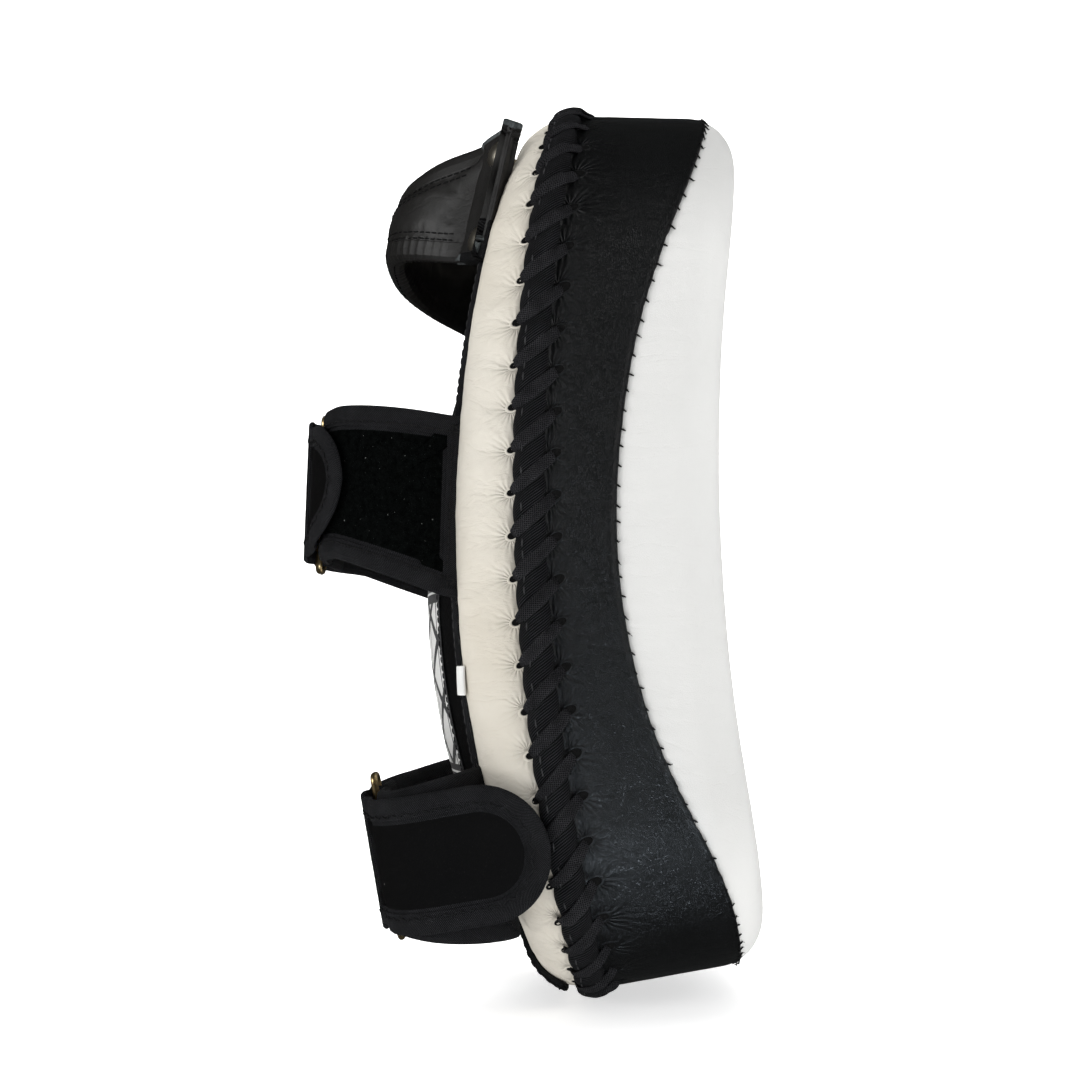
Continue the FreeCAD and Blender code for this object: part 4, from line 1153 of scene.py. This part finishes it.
# ---- straps --------------------------------------------------------------------------------
class Plane:
    """Axes of a strap or grip: a middle point, Y across the pad, n away from it, t along the bar."""

    def __init__(self, middle, n, t):
        self.middle, self.n, self.t = middle, n, t

    def spot(self, a, b, middle=None):
        return (self.middle if middle is None else middle) + Y_AXIS * a + self.n * b

    def swept(self, node, centre, start, end, count=120, inner=False):
        """Outline of a node in the plane across the pad, as seen from a centre, in degrees."""
        tree = tree_of(node)
        eye = self.spot(*centre)
        miss = np.full(3, np.nan)
        pts = []
        for phi in np.linspace(math.radians(start), math.radians(end), count):
            d = Y_AXIS * math.cos(phi) + self.n * math.sin(phi)
            hit = cast(tree, eye, d, miss) if inner else cast(tree, eye + d * 0.2, -d, miss)
            if not np.isnan(hit[0]):
                pts.append(hit)
        return np.array(pts)


def smooth_path(points, passes=3):
    """Even spacing and a light smoothing that keeps both ends."""
    path = resampled(points, max(8, int(lengths(points)[-1] / SPACING)))
    for _ in range(passes):
        path[1:-1] = path[1:-1] * 0.5 + (path[:-2] + path[2:]) * 0.25
    return path


def wrap_from(path, across, outward_from):
    """A wrap on a path, its normals turned away from a point."""
    n = unit(np.cross(tangents(path), across))
    sign = np.sign(((path - outward_from) * n).sum(-1).mean())
    return Wrap(path, n * sign, across)


def edge_reach(wrap, tree, depth, count=40):
    """Low and high edge of a strap across it, at places along its path."""
    s = np.linspace(0.01 * wrap.length, 0.99 * wrap.length, count)
    low, high = [], []
    miss, aside = np.full(3, np.nan), wrap.across * 0.15
    for p in wrap.at(s, np.zeros(count), np.full(count, -depth)):
        high.append((cast(tree, p + aside, -wrap.across, miss) - p) @ wrap.across)
        low.append((cast(tree, p - aside, wrap.across, miss) - p) @ wrap.across)
    low, high = np.array(low), np.array(high)
    good = ~(np.isnan(low) | np.isnan(high))
    return s[good], low[good], high[good]


def bound_profile(up, down, width=BINDING, bulge=0.55 * MM):
    """Rings of a sheet with tape folded over its edge: upper face, tape, lower face."""
    half, mid = 0.4 * (up + down) / 2, (up - down) / 2
    fold = ((1.0, 1.5, 0.0, -0.1), (1.0, 0.0, 0.0, -0.15), (1.0, -0.2, 0.0, 0.45), (0.6, 0.0, 1.0, 0.3),
            (0.25, 0.0, 1.0, 0.15))

    def face(level, sign):
        rings = [(width * w + extra * MM, level + sign * (bulge * b + rise * MM))
                 for w, extra, b, rise in fold]
        return rings + [(0.3 * MM, level * 0.75 + sign * 0.2 * MM), (-0.55 * MM, mid + sign * half)]
    return face(up, 1) + face(-down, -1)[::-1]


def strap_outline(s, low, high, s0, s1, radii):
    """Closed outline of a strap in (s, t) from its edges between two places."""
    places = np.linspace(s0, s1, 24)
    under = list(zip(places, np.interp(places, s, low)))
    over = list(zip(places, np.interp(places, s, high)))
    side = [1.0 * MM] * (len(places) - 2)
    r = [radii[0], *side, radii[1], radii[1], *side, radii[0]]
    return rounded(under + over[::-1], r)


def strap(name):
    """One strap: near arm, the roll round the near bar, the tab, and the far keeper."""
    near, far = (JOINTS[name + end] for end in ("_tab_peel", "_ring_swivel"))
    t = unit(np.array(far["axis"], float))
    near, far = np.array(near["pos_m"]), np.array(far["pos_m"])
    plane = Plane(near, unit(-np.cross(Y_AXIS, t)), t)
    centre = {"upper": (-0.006, -0.055), "lower": (0.016, -0.042)}[name]
    eye = plane.spot(*centre)
    bar_y, tab_body = near[1], name + "_tab"

    def stitches(label, surface, plan, inset, heights, pitch, length, seeds, body, zigzag=0.0):
        rows = []
        for height, seed in zip(heights, seeds):
            rows += stitch_row(surface, plan, inset, height, pitch, length, 0.30 * MM, seed, zigzag)
        fit(merged(name + label, rows, [THREAD]), body=body)

    # near-side arm, from the arm bed to the roll round the loop
    outer = plane.swept(name + "_strap_face", centre, 205, 84)
    outer = outer[outer[:, 1] < bar_y - 1.0 * MM]
    arm = wrap_from(smooth_path(outer), t, eye)
    s, low, high = edge_reach(arm, tree_of(name + "_strap_lining", name + "_strap_face"), 0.8 * MM)
    plan = strap_outline(s, low, high, s[0] - 6 * MM, arm.length - 2.5 * MM, (1 * MM, 3 * MM))
    body = sheet(name + "_arm", arm, plan, bound_profile(0.1 * MM, 3.9 * MM), [TAPE, PILE, LINING],
                 puff=0.5 * MM, seed=3)
    fit(body, [name + part for part in ("_strap_face", "_strap_lining", "_strap_tape")])
    stitches("_arm_stitches", arm, plan, BINDING - 1.9 * MM, (0.75 * MM, -4.75 * MM), 3.6 * MM,
             2.9 * MM, (5, 6), "pad")
    # roll round the near bar, shared by the arm and the tab
    roll = strap_roll(name, plane, low[-1], high[-1])
    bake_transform(roll)
    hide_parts(name + "_strap_fold")
    # closing tab, its end rounded by smoothing the outline
    outer = plane.swept(name + "_tab_cover", centre, 235, 84, 160)
    outer = outer[outer[:, 1] < bar_y - 1.0 * MM]
    tab = wrap_from(smooth_path(outer[::-1]), t, eye)
    s, low, high = edge_reach(tab, tree_of(name + "_tab_cover"), 1.0 * MM, 70)
    pts = [*zip(s, low), (tab.length + 0.2 * MM, 0.5 * (low[-1] + high[-1]))]
    plan = evenly(np.array(pts + [*zip(s[::-1], high[::-1])]), 1.4 * MM)
    for _ in range(3):
        plan = plan * 0.5 + (np.roll(plan, 1, 0) + np.roll(plan, -1, 0)) * 0.25
    body = sheet(name + "_tab", tab, plan, bound_profile(0.0, 2.2 * MM, bulge=0.45 * MM),
                 [TAPE, TAB_CLOTH, HOOK], puff=0.7 * MM, seed=8)
    fit(body, [name + part for part in ("_tab_cover", "_tab_hook", "_tab_tape")], tab_body)
    stitches("_tab_stitches", tab, plan, BINDING - 2.1 * MM, (0.65 * MM, -2.9 * MM), 3.4 * MM,
             3.0 * MM, (7, 9), tab_body, 1.3 * MM)
    # far-side keeper with its own roll round the far bar
    half = 1.25 * MM
    wrap, s, low, high = keeper_wrap(name, plane, far, centre, half)
    plan = strap_outline(s, low, high, 0.0, wrap.length + 4 * MM, (2 * MM, 1 * MM))
    body = sheet(name + "_keeper_strap", wrap, plan, bound_profile(half, half, 8 * MM, 0.3 * MM),
                 [TAPE, LINING, LINING], puff=0.3 * MM, seed=14)
    fit(body, [name + part for part in ("_keeper", "_keeper_leg", "_keeper_tape")])
    stitches("_keeper_stitches", wrap, plan, 6.2 * MM, (half + 0.5 * MM, -half - 0.5 * MM),
             3.6 * MM, 2.9 * MM, (15, 16), "pad")


def strap_roll(name, plane, low, high):
    """Strap rolled round the loop's near bar."""
    radius = 5.9 * MM
    turn = np.radians(np.linspace(-90, 90, 25))
    pts = [(-7 * MM, -radius), (-3.5 * MM, -radius)]
    pts += [(radius * math.cos(q), radius * math.sin(q)) for q in turn]
    pts += [(-3.5 * MM, radius), (-7 * MM, radius)]
    wrap = wrap_from(np.array([plane.spot(*p) for p in pts]), plane.t, plane.middle)
    plan = rectangle(0.0, wrap.length, low + 0.4 * MM, high - 0.4 * MM, 2 * MM)
    return sheet(name + "_roll", wrap, plan, bound_profile(0.0, 2.4 * MM, 7 * MM, 0.3 * MM),
                 [TAPE, LINING, LINING], seed=12)


def keeper_wrap(name, plane, far, centre, half):
    """The keeper's whole path, from its short leg round the far bar and along the far arm,
    with its low and high edges."""
    t, eye = plane.t, plane.spot(*centre)
    outer = plane.swept(name + "_keeper", centre, -25, 86, 140)
    outer = outer[outer[:, 1] > far[1] + 0.5 * MM]
    top = wrap_from(smooth_path(outer[::-1]), t, eye)
    radius = 1.9 * MM + half
    roll = [plane.spot(radius * math.cos(q), radius * math.sin(q), far)
            for q in np.radians(np.linspace(268, 92, 21))]
    leg = plane.swept(name + "_keeper_leg", centre, 20, 88, 90, inner=True)
    leg = wrap_from(smooth_path(leg[leg[:, 1] > far[1] + 0.5 * MM]), t, eye)
    leg = leg.points + leg.normals * half
    if leg[0, 1] < leg[-1, 1]:
        leg = leg[::-1]
    whole = smooth_path(np.vstack([leg, np.array(roll), top.points - top.normals * half]), passes=2)
    turn = unit(np.cross(tangents(whole), t))
    if (whole[-10] - eye) @ turn[-10] < 0:
        turn = -turn
    wrap = Wrap(whole, turn, t)
    s, low, high = edge_reach(top, tree_of(name + "_keeper"), half)
    offset = wrap.length - top.length
    s = np.concatenate([[0.0, offset], s + offset])
    return wrap, s, *(np.concatenate([[edge[0]] * 2, edge]) for edge in (low, high))


def paint(node, material):
    NODES[node].data.materials.clear()
    NODES[node].data.materials.append(material)


for strap_name in ("upper", "lower"):
    strap(strap_name)
    paint(strap_name + "_loop", BRASS)


# ---- hand grip --------------------------------------------------------------------------------
class Cushion(Wrap):
    """A wrap whose heights grow and shrink with the local thickness."""

    def set_thickness(self, half, reference):
        self.half, self.reference = half, reference

    def at(self, s, t, h):
        factor = np.interp(s, self.along, self.half) / self.reference
        return Wrap.at(self, s, t, np.asarray(h) * factor)


class Dipped(Wrap):
    """A wrap that sinks below its path towards its root."""

    def at(self, s, t, h):
        sunk = np.clip(1 - np.abs(s - self.root) / (7 * MM), 0, 1) ** 2
        return Wrap.at(self, s, t, np.asarray(h) - 1.7 * MM * sunk)


def evaluated_mesh(piece):
    """The piece's mesh with its modifiers applied; the modifiers are taken off."""
    mesh = bpy.data.meshes.new_from_object(piece.evaluated_get(bpy.context.evaluated_depsgraph_get()))
    piece.modifiers.clear()
    return mesh


def swollen(piece, held, cap):
    """Cloth pass on a closed soft piece: evenly meshed, held where it is sewn down, blown up
    from inside so it puckers, and kept within cap of where it started."""
    voxel, frames, pressure, shrink = 2.2 * MM, 18, 4.0, -0.008
    even = piece.modifiers.new("even", "REMESH")
    even.mode, even.voxel_size = "VOXEL", voxel
    piece.data = evaluated_mesh(piece)
    start = coordinates(piece.data)
    group = piece.vertex_groups.new(name="sewn")
    group.add([int(k) for k in np.where(held(start))[0]], 1.0, "REPLACE")
    cloth = piece.modifiers.new("swell", "CLOTH")
    cloth.settings.use_pressure = True
    cloth.settings.uniform_pressure_force = pressure
    cloth.settings.effector_weights.gravity = 0.0
    cloth.settings.vertex_group_mass = "sewn"
    cloth.settings.shrink_min = shrink
    cloth.point_cache.frame_end = frames
    for number in range(1, frames + 1):
        bpy.context.scene.frame_set(number)
    moved = coordinates(evaluated_mesh(piece)) - start
    bpy.context.scene.frame_set(1)
    size = np.linalg.norm(moved, axis=1, keepdims=True)
    soft = start + moved * (cap * np.tanh(size / cap) / np.maximum(size, 1e-9))
    piece.data.vertices.foreach_set("co", soft.ravel())
    piece.modifiers.new("smooth", "SUBSURF").levels = 1
    piece.data = evaluated_mesh(piece)
    piece.data.polygons.foreach_set("use_smooth", [True] * len(piece.data.polygons))
    return piece


def slab_profile(top, bottom):
    """Rings of a cut leather layer between two heights, its edge bare."""
    bevel = 0.5 * MM
    return ((2.5 * MM, top), (bevel * 1.4, top + 0.05 * MM), (bevel * 0.3, top - 0.25 * MM),
            (-0.1 * MM, (top + bottom) / 2), (bevel * 0.3, bottom + 0.25 * MM),
            (bevel * 1.4, bottom), (2.5 * MM, bottom))


def grip_shape():
    """The grip's outer skin and middle as wraps, its edges, and the gap between its faces."""
    heads = np.array([c.mean(0) for c in islands("grip_rivets")])
    left = heads[heads[:, 1] < 0]
    t = unit(left[np.argmax(left[:, 2])] - left[np.argmin(left[:, 2])])
    n = unit(-np.cross(Y_AXIS, t))
    lining = vertices_of("grip_lining")
    crown = lining[np.abs(lining[:, 1]) < 8 * MM]
    centre = n * ((lining @ n).max() - 34 * MM) + t * (crown @ t).mean()
    plane = Plane(centre, n, t)
    path = smooth_path(plane.swept("grip_cover", (0, 0), 194, -14, 200), passes=2)
    inside = plane.swept("grip_lining", (0, 0), 194, -14, 200, inner=True)
    gaps = np.array([np.linalg.norm(inside - p, axis=1).min() for p in path])
    gaps = np.convolve(np.pad(gaps, 4, "edge"), np.ones(9) / 9, "valid")
    cover = wrap_from(path, t, centre)
    mid = Cushion(path - cover.normals * (gaps / 2)[:, None], cover.normals, t)
    mid.set_thickness(gaps / 2, gaps.max() / 2)
    s, low, high = edge_reach(cover, tree_of("grip_cover"), 0.9 * MM, 80)
    return cover, mid, s, low, high, gaps.min(), np.abs(heads[:, 1]).max()


def grip_padding(mid, s, low, high, arch):
    """Cushion, pleated edge and stitches of the grip's arch."""
    s_from, s_to = s[arch][0], s[arch][-1]
    middle, plain_end = (s_from + s_to) / 2, 16 * MM
    plan = strap_outline(s, low, high, s_from, s_to, (3 * MM, 3 * MM))
    u = mid.reference * 0.80
    w = 8.0 * MM
    seam_at, seam_level = w + 0.4 * MM, u - 0.25 * MM

    def pleats(flat, along):
        past = (s_to - s_from) / 2 - plain_end - np.abs(flat[:, 0] - middle)
        strength = np.clip(past / (8 * MM), 0, 1)
        below_middle = 1.0 / (1.0 + np.exp(flat[:, 1] / (2 * MM)))
        swing = 0.5 * np.sin(along / (11 * MM))
        folds = np.abs(np.sin(along / (4.3 * MM) * math.pi + swing)) ** 0.8 - 0.5
        return 3.2 * MM * folds * strength * (0.15 + 0.85 * below_middle)

    upper = ((w + 2 * MM, u), (seam_at, seam_level), (w - 2 * MM, u * 0.6))
    lower = [(inset, -height) for inset, height in upper[::-1]]
    inner = [*upper, (w - 2.6 * MM, 0.0), *lower]
    edge = ((w + 2 * MM, u), (seam_at, seam_level), (w, u - 0.2 * MM), (w - 0.3 * MM, u + 0.4 * MM),
            (w * 0.55, u * 0.98), (w * 0.2, u * 0.78), (-0.2 * MM, u * 0.4), (-0.7 * MM, 0.1 * MM))
    below = ((-0.2 * MM, -u * 0.4), (w * 0.2, -u * 0.78), (w * 0.55, -u * 0.98),
             (w - 0.3 * MM, -u - 0.4 * MM), (w, -u + 0.2 * MM), (w + 2 * MM, -u))
    body = sheet("grip_cushion", mid, plan, inner, [GRIP_HIDE] * 3, fan=16,
                 puff=mid.reference * 0.20, ripple=0.10 * MM, seed=31)
    seam = plan + inward(plan) * seam_at
    sewn = KDTree(2 * len(seam))
    for k, (a, b) in enumerate(np.vstack([seam, seam])):
        level = seam_level if k < len(seam) else -seam_level
        sewn.insert(mid.at(np.array([a]), np.array([b]), np.array([level]))[0], k)
    sewn.balance()

    def held(points):
        return np.array([sewn.find(p)[2] < 2.6 * MM or abs(p[1]) > 56 * MM for p in points])
    body = swollen(body, held, 2.6 * MM)
    binding = sheet("grip_binding", mid, plan, edge + below, [GRIP_HIDE], fan=0, ripple=0.10 * MM,
                    seed=31, ribs=pleats)
    tree = tree_of_objects(body, binding)
    rows = []
    for inset, seed in ((w + 0.9 * MM, 32), (w + 3.6 * MM, 33)):
        rows += stitches_on(tree, mid, plan, inset, 3.4 * MM, 2.8 * MM, 0.34 * MM, seed,
                            lambda p: s_from + plain_end < p[0] < s_to - plain_end)
    fit(body, ("grip_cover", "grip_lining", "grip_foam", "grip_tape"))
    fit(binding, ("grip_edge_low", "grip_edge_high"))
    fit(merged("grip_stitches", rows, [THREAD]))


def grip():
    """Padded hand grip on riveted flanges of three leather layers, their ends taped."""
    cover, mid, s, low, high, flange_gap, rivet_y = grip_shape()
    y_at = np.interp(s, cover.along, cover.points[:, 1])
    grip_padding(mid, s * mid.length / cover.length, low, high, np.abs(y_at) < 67 * MM)
    flange = 57.5 * MM
    layers = (("upper", -0.1 * MM, -2.0 * MM, 0.0),
              ("lower", -flange_gap * 0.55, -flange_gap * 0.97, 0.35 * MM),
              ("base", -flange_gap - 0.35 * MM, -flange_gap - 2.8 * MM, -0.4 * MM))
    top, bottom = 0.75 * MM, -flange_gap - 3.3 * MM
    folded = ((1.6 * MM, top), (0.4 * MM, top - 0.3 * MM), (0.0, top - 1.2 * MM),
              (0.0, bottom + 1.2 * MM), (0.4 * MM, bottom + 0.3 * MM), (1.6 * MM, bottom))
    for side, sign, end in (("near", -1, 0), ("far", 1, -1)):
        on_flange, past_rivet = (s[y_at * sign > y] for y in (flange, rivet_y + 3.5 * MM))
        root, tip = on_flange[-1 - end], s[end]
        lo_s, hi_s = sorted((root, tip + sign * 0.5 * MM))
        plan = strap_outline(s, low, high, lo_s, hi_s, (3 * MM, 3 * MM))
        slab = Dipped(cover.points, cover.normals, cover.across)
        slab.root = root
        for label, upper, lower, inset in layers:
            wave = 0.25 * MM * np.sin(np.arange(len(plan)) * 0.35 + upper * 4000)
            edge = plan + inward(plan) * inset + inward(plan) * wave[:, None]
            piece = sheet(f"grip_{side}_{label}_layer", slab if label == "upper" else cover, edge,
                          slab_profile(upper, lower), [RAW_EDGE, GRIP_HIDE, GRIP_HIDE], fan=8,
                          ripple=0.06 * MM, seed=40)
            fit(piece, ("grip_patches",) if label == "base" else ())
        tape_from, tape_to = past_rivet[-1 - end], tip + sign * 1.3 * MM
        foot = low[y_at * sign > flange].min() - 0.8 * MM
        foot_from = root + (tape_from - root) * 0.25
        for part, start, stop, tall in (("end", tape_from, tape_to, 17 * MM),
                                        ("foot", foot_from, tape_from, 4.5 * MM)):
            piece = sheet(f"grip_{side}_{part}_tape", cover,
                          rectangle(start, stop, foot, foot + tall, 1.5 * MM), folded,
                          [GRIP_TAPE] * 3, fan=5, ripple=0.3 * MM, seed=44)
            fit(piece)
    for node in ("grip_rivets", "grip_washers"):
        paint(node, RIVET)


grip()


# ---- arm bed ------------------------------------------------------------------------------------
def arm_bed():
    """Crowned arm bed with its tape edge, and the woven band across it."""
    low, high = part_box("arm_bed_cover")
    surface = Drape("arm_bed_cover", "back_panel", "arm_bed_foam", "back_foam")
    plan = evenly(YZ - NN * (HALF_WIDTH - high.y), 2.0 * MM)
    w, spine_end = 5.0 * MM, 90 * MM
    profile = ((w + 1.2 * MM, 0.1 * MM), (w, 0.05 * MM), (w - 0.2 * MM, 0.55 * MM),
               (w * 0.6, 0.95 * MM), (w * 0.2, 0.85 * MM), (-0.5 * MM, 0.45 * MM),
               (-1.0 * MM, -0.6 * MM))
    bed = sheet("arm_bed_cushion", surface, plan, profile, [TAPE, BED_HIDE, BED_HIDE], fan=30,
                spine=((0.0, low.z + spine_end), (0.0, high.z - spine_end)), puff=0.4 * MM,
                ripple=0.22 * MM, seed=50, under=False)
    rows = stitch_row(surface, plan, 2.4 * MM, 0.95 * MM, 4.0 * MM, 3.1 * MM, 0.3 * MM, 51)
    edge = merged("arm_bed_stitches", rows, [GREY_THREAD])
    fit(bed, ("arm_bed_cover", "arm_bed_binding"))
    fit(edge)
    a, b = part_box("arm_bed_label")
    plan = rectangle(a.y, b.y, a.z, b.z, 2 * MM, 1.8 * MM)
    surface = Drape("arm_bed_label", "arm_bed_cover", "back_panel")
    profile = ((2.0 * MM, 0.25 * MM), (0.5 * MM, 0.3 * MM), (0.1 * MM, 0.1 * MM))
    label = sheet("back_label", surface, plan, profile, [LABEL] * 3, fan=16,
                  spine=((0, a.z + 40 * MM), (0, b.z - 40 * MM)), puff=0.3 * MM,
                  ripple=0.1 * MM, seed=52, under=False)
    rows = stitch_row(surface, plan, 2.2 * MM, 0.3 * MM, 3.4 * MM, 2.6 * MM, 0.25 * MM, 53)
    edge = merged("back_label_stitches", rows, [THREAD])
    fit(label, ("arm_bed_label",))
    fit(edge)


def facing():
    """Black facing from the arm bed over the low end to the lacing."""
    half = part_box("arm_bed_tongue")[1].y
    places = np.where((np.abs(YZ[:, 0]) < half) & (YZ[:, 1] < 0))[0]
    step = RING_LEN / COUNT
    depth = lengths(ROLL_POINTS[places[len(places) // 2]])[-1]
    column = depth / (ROLL_POINTS.shape[1] - 1)
    surface = Patch(ROLL_POINTS, ROLL_NORMALS, step, column)
    plan = rectangle(places[0] * step, places[-1] * step, 4.5 * MM, depth + 0.5 * MM, 5 * MM)
    plan[:, 1] = np.minimum(plan[:, 1], depth - column * 1.2)
    profile = ((4 * MM, 2.8 * MM), (1.2 * MM, 2.8 * MM), (0.2 * MM, 2.2 * MM), (0.0, 1.2 * MM),
               (0.3 * MM, 0.2 * MM))
    piece = sheet("low_end_facing", surface, plan, profile, [BED_HIDE] * 3, fan=14,
                  ripple=0.25 * MM, seed=60, under=False)
    rows = stitch_row(surface, plan, 3.0 * MM, 2.75 * MM, 4.0 * MM, 3.0 * MM, 0.3 * MM, 61)
    edge = merged("low_end_stitches", rows, [THREAD])
    fit(piece, ("arm_bed_tongue",))
    fit(edge)


def tag():
    """White woven tape folded double; it leaves the arm bed's seam and lies over the roll."""
    co = vertices_of("side_tag")
    low, high = co.min(0), co.max(0)
    flat = co[:, :2] - co[:, :2].mean(0)
    axes = np.linalg.eigh(flat.T @ flat)[1]
    d = axes[:, 1] * -np.sign(axes[1, 1])
    along = flat @ d
    centre = co[:, :2].mean(0) + d * (along.max() + along.min()) / 2
    length = along.max() - along.min()
    aside = np.array([d[1], -d[0]])
    gap, bulge_turn = 0.45 * MM, 3.1
    turn = length / 2 - 0.6 * MM
    there = np.linspace(0, 0.93, 12)
    pts = [(-length / 2 + length * f, gap + 0.5 * MM * math.sin(f * bulge_turn)) for f in there]
    pts += [(turn + gap * math.cos(q), gap * math.sin(q)) for q in np.linspace(1.2, -1.2, 7)]
    pts += [(-length / 2 + length * f, -gap + 0.3 * MM * math.sin(f * bulge_turn)) for f in there[::-1]]
    path = np.array([[*(centre + d * a + aside * b), (low[2] + high[2]) / 2] for a, b in pts])
    wrap = Wrap(path, unit(np.cross(tangents(path), Z_AXIS)), Z_AXIS)
    half = (high[2] - low[2]) / 2
    plan = rectangle(0.0, wrap.length, -half, half, 0.4 * MM, 0.8 * MM)
    h = 0.22 * MM
    profile = ((0.9 * MM, h), (0.3 * MM, h), (0.0, 0.0), (0.3 * MM, -h), (0.9 * MM, -h))
    piece = sheet("side_tag_ribbon", wrap, plan, profile, [TAG] * 3, fan=6, ripple=0.05 * MM, seed=70)
    fit(piece, ("side_tag",))


arm_bed()
facing()
tag()


# ---- camera, light, floor -------------------------------------------------------------
def linked(name, data):
    o = bpy.data.objects.new(name, data)
    bpy.context.scene.collection.objects.link(o)
    return o


def place_camera():
    """Level with the pad's middle, a little to one side, looking across it and tilted up."""
    distance, focal, sensor = 0.62, 1550.0 / 1080.0, 36.0
    pitch, roll = math.atan(130.0 / 1550.0), math.radians(2.4)
    aside, height = 0.078, -0.054
    right = Vector((math.cos(roll), 0, -math.sin(roll)))
    rise = Vector((math.sin(roll), 0, math.cos(roll)))
    across = Vector((0, 1, 0))
    forward = across * math.cos(pitch) + rise * math.sin(pitch)
    up = rise * math.cos(pitch) - across * math.sin(pitch)
    data = bpy.data.cameras.new("camera")
    data.sensor_width, data.lens = sensor, sensor * focal
    data.clip_start, data.clip_end = 0.01, 50
    camera = linked("camera", data)
    turn = Matrix((right, up, -forward)).transposed()
    spot = Vector((aside, -HALF_WIDTH - distance, height))
    camera.matrix_world = Matrix.Translation(spot) @ turn.to_4x4()
    bpy.context.scene.camera = camera


def place_light(name, spot, target, size, power, tint=(1, 1, 1), shine=True, diffuse=True):
    """Round soft light aimed at a spot; shine and diffuse say which rays see it."""
    data = bpy.data.lights.new(name, "AREA")
    data.shape, data.size, data.energy, data.color = "DISK", size, power, tint
    o = linked(name, data)
    o.location = spot
    o.visible_glossy, o.visible_diffuse, o.visible_camera = shine, diffuse, False
    o.rotation_euler = (Vector(target) - Vector(spot)).to_track_quat("-Z", "Y").to_euler()


def place_floor(floor_z):
    """White sweep: floor, curve and wall. The black leather does not mirror it."""
    reach, curve, far, top = 2.6, 0.9, 6.0, 5.0
    profile = [(-far, 0.0), (reach, 0.0)]
    profile += [(reach + math.sin(a) * curve, curve - math.cos(a) * curve)
                for a in np.linspace(0, math.pi / 2, 24)]
    profile += [(reach + curve, top)]
    P = np.array([[(x, y, floor_z + z) for y, z in profile] for x in np.linspace(-far, far, 7)])
    floor = grid("studio_floor", P, WHITE)
    floor.visible_glossy = floor.visible_shadow = False


def light_world():
    """White surroundings: full strength to the camera, dim as light, dimmer still in gloss."""
    ambient, seen, mirrored = 0.28, 1.0, -0.24
    world = bpy.data.worlds.new("studio")
    bpy.context.scene.world = world
    world.use_nodes = True
    tree = world.node_tree
    background = tree.nodes["Background"]
    background.inputs["Color"].default_value = (1.0, 1.0, 1.0, 1.0)
    path = tree.nodes.new("ShaderNodeLightPath")
    level = None
    for ray, amount in (("Is Camera Ray", seen), ("Is Glossy Ray", mirrored)):
        scale = tree.nodes.new("ShaderNodeMath")
        scale.operation = "MULTIPLY_ADD"
        tree.links.new(path.outputs[ray], scale.inputs[0])
        scale.inputs[1].default_value = amount
        if level is None:
            scale.inputs[2].default_value = ambient
        else:
            tree.links.new(level, scale.inputs[2])
        level = scale.outputs[0]
    tree.links.new(level, background.inputs["Strength"])


def studio():
    floor_z = CAD_BOX[0].z - 1 * MM
    place_floor(floor_z)
    light_world()
    place_light("left_box", (-1.6, -1.0, 0.6), (0.05, 0, 0), 1.1, 13)
    place_light("right_box", (1.7, -0.7, 0.7), (0.10, 0, 0), 1.1, 8)
    place_light("top_box", (0.1, -0.3, 1.6), (0.08, 0, 0), 0.9, 5, shine=False)
    place_light("back_wash", (0.0, 1.6, 2.4), (0.0, 3.0, 0.4), 2.0, 60, shine=False)
    place_light("floor_wash", (0.0, 0.9, 2.2), (0.0, 0.9, -0.2), 1.6, 22, shine=False)
    place_light("low_sheen", (0.09, -HALF_WIDTH - 0.22, floor_z - 0.045),
                (0.06, -HALF_WIDTH, END_LOW + 0.05), 0.09, 0.36, (0.78, 0.89, 1.0), diffuse=False)
    bpy.context.scene.view_settings.view_transform = "Standard"


place_camera()
studio()
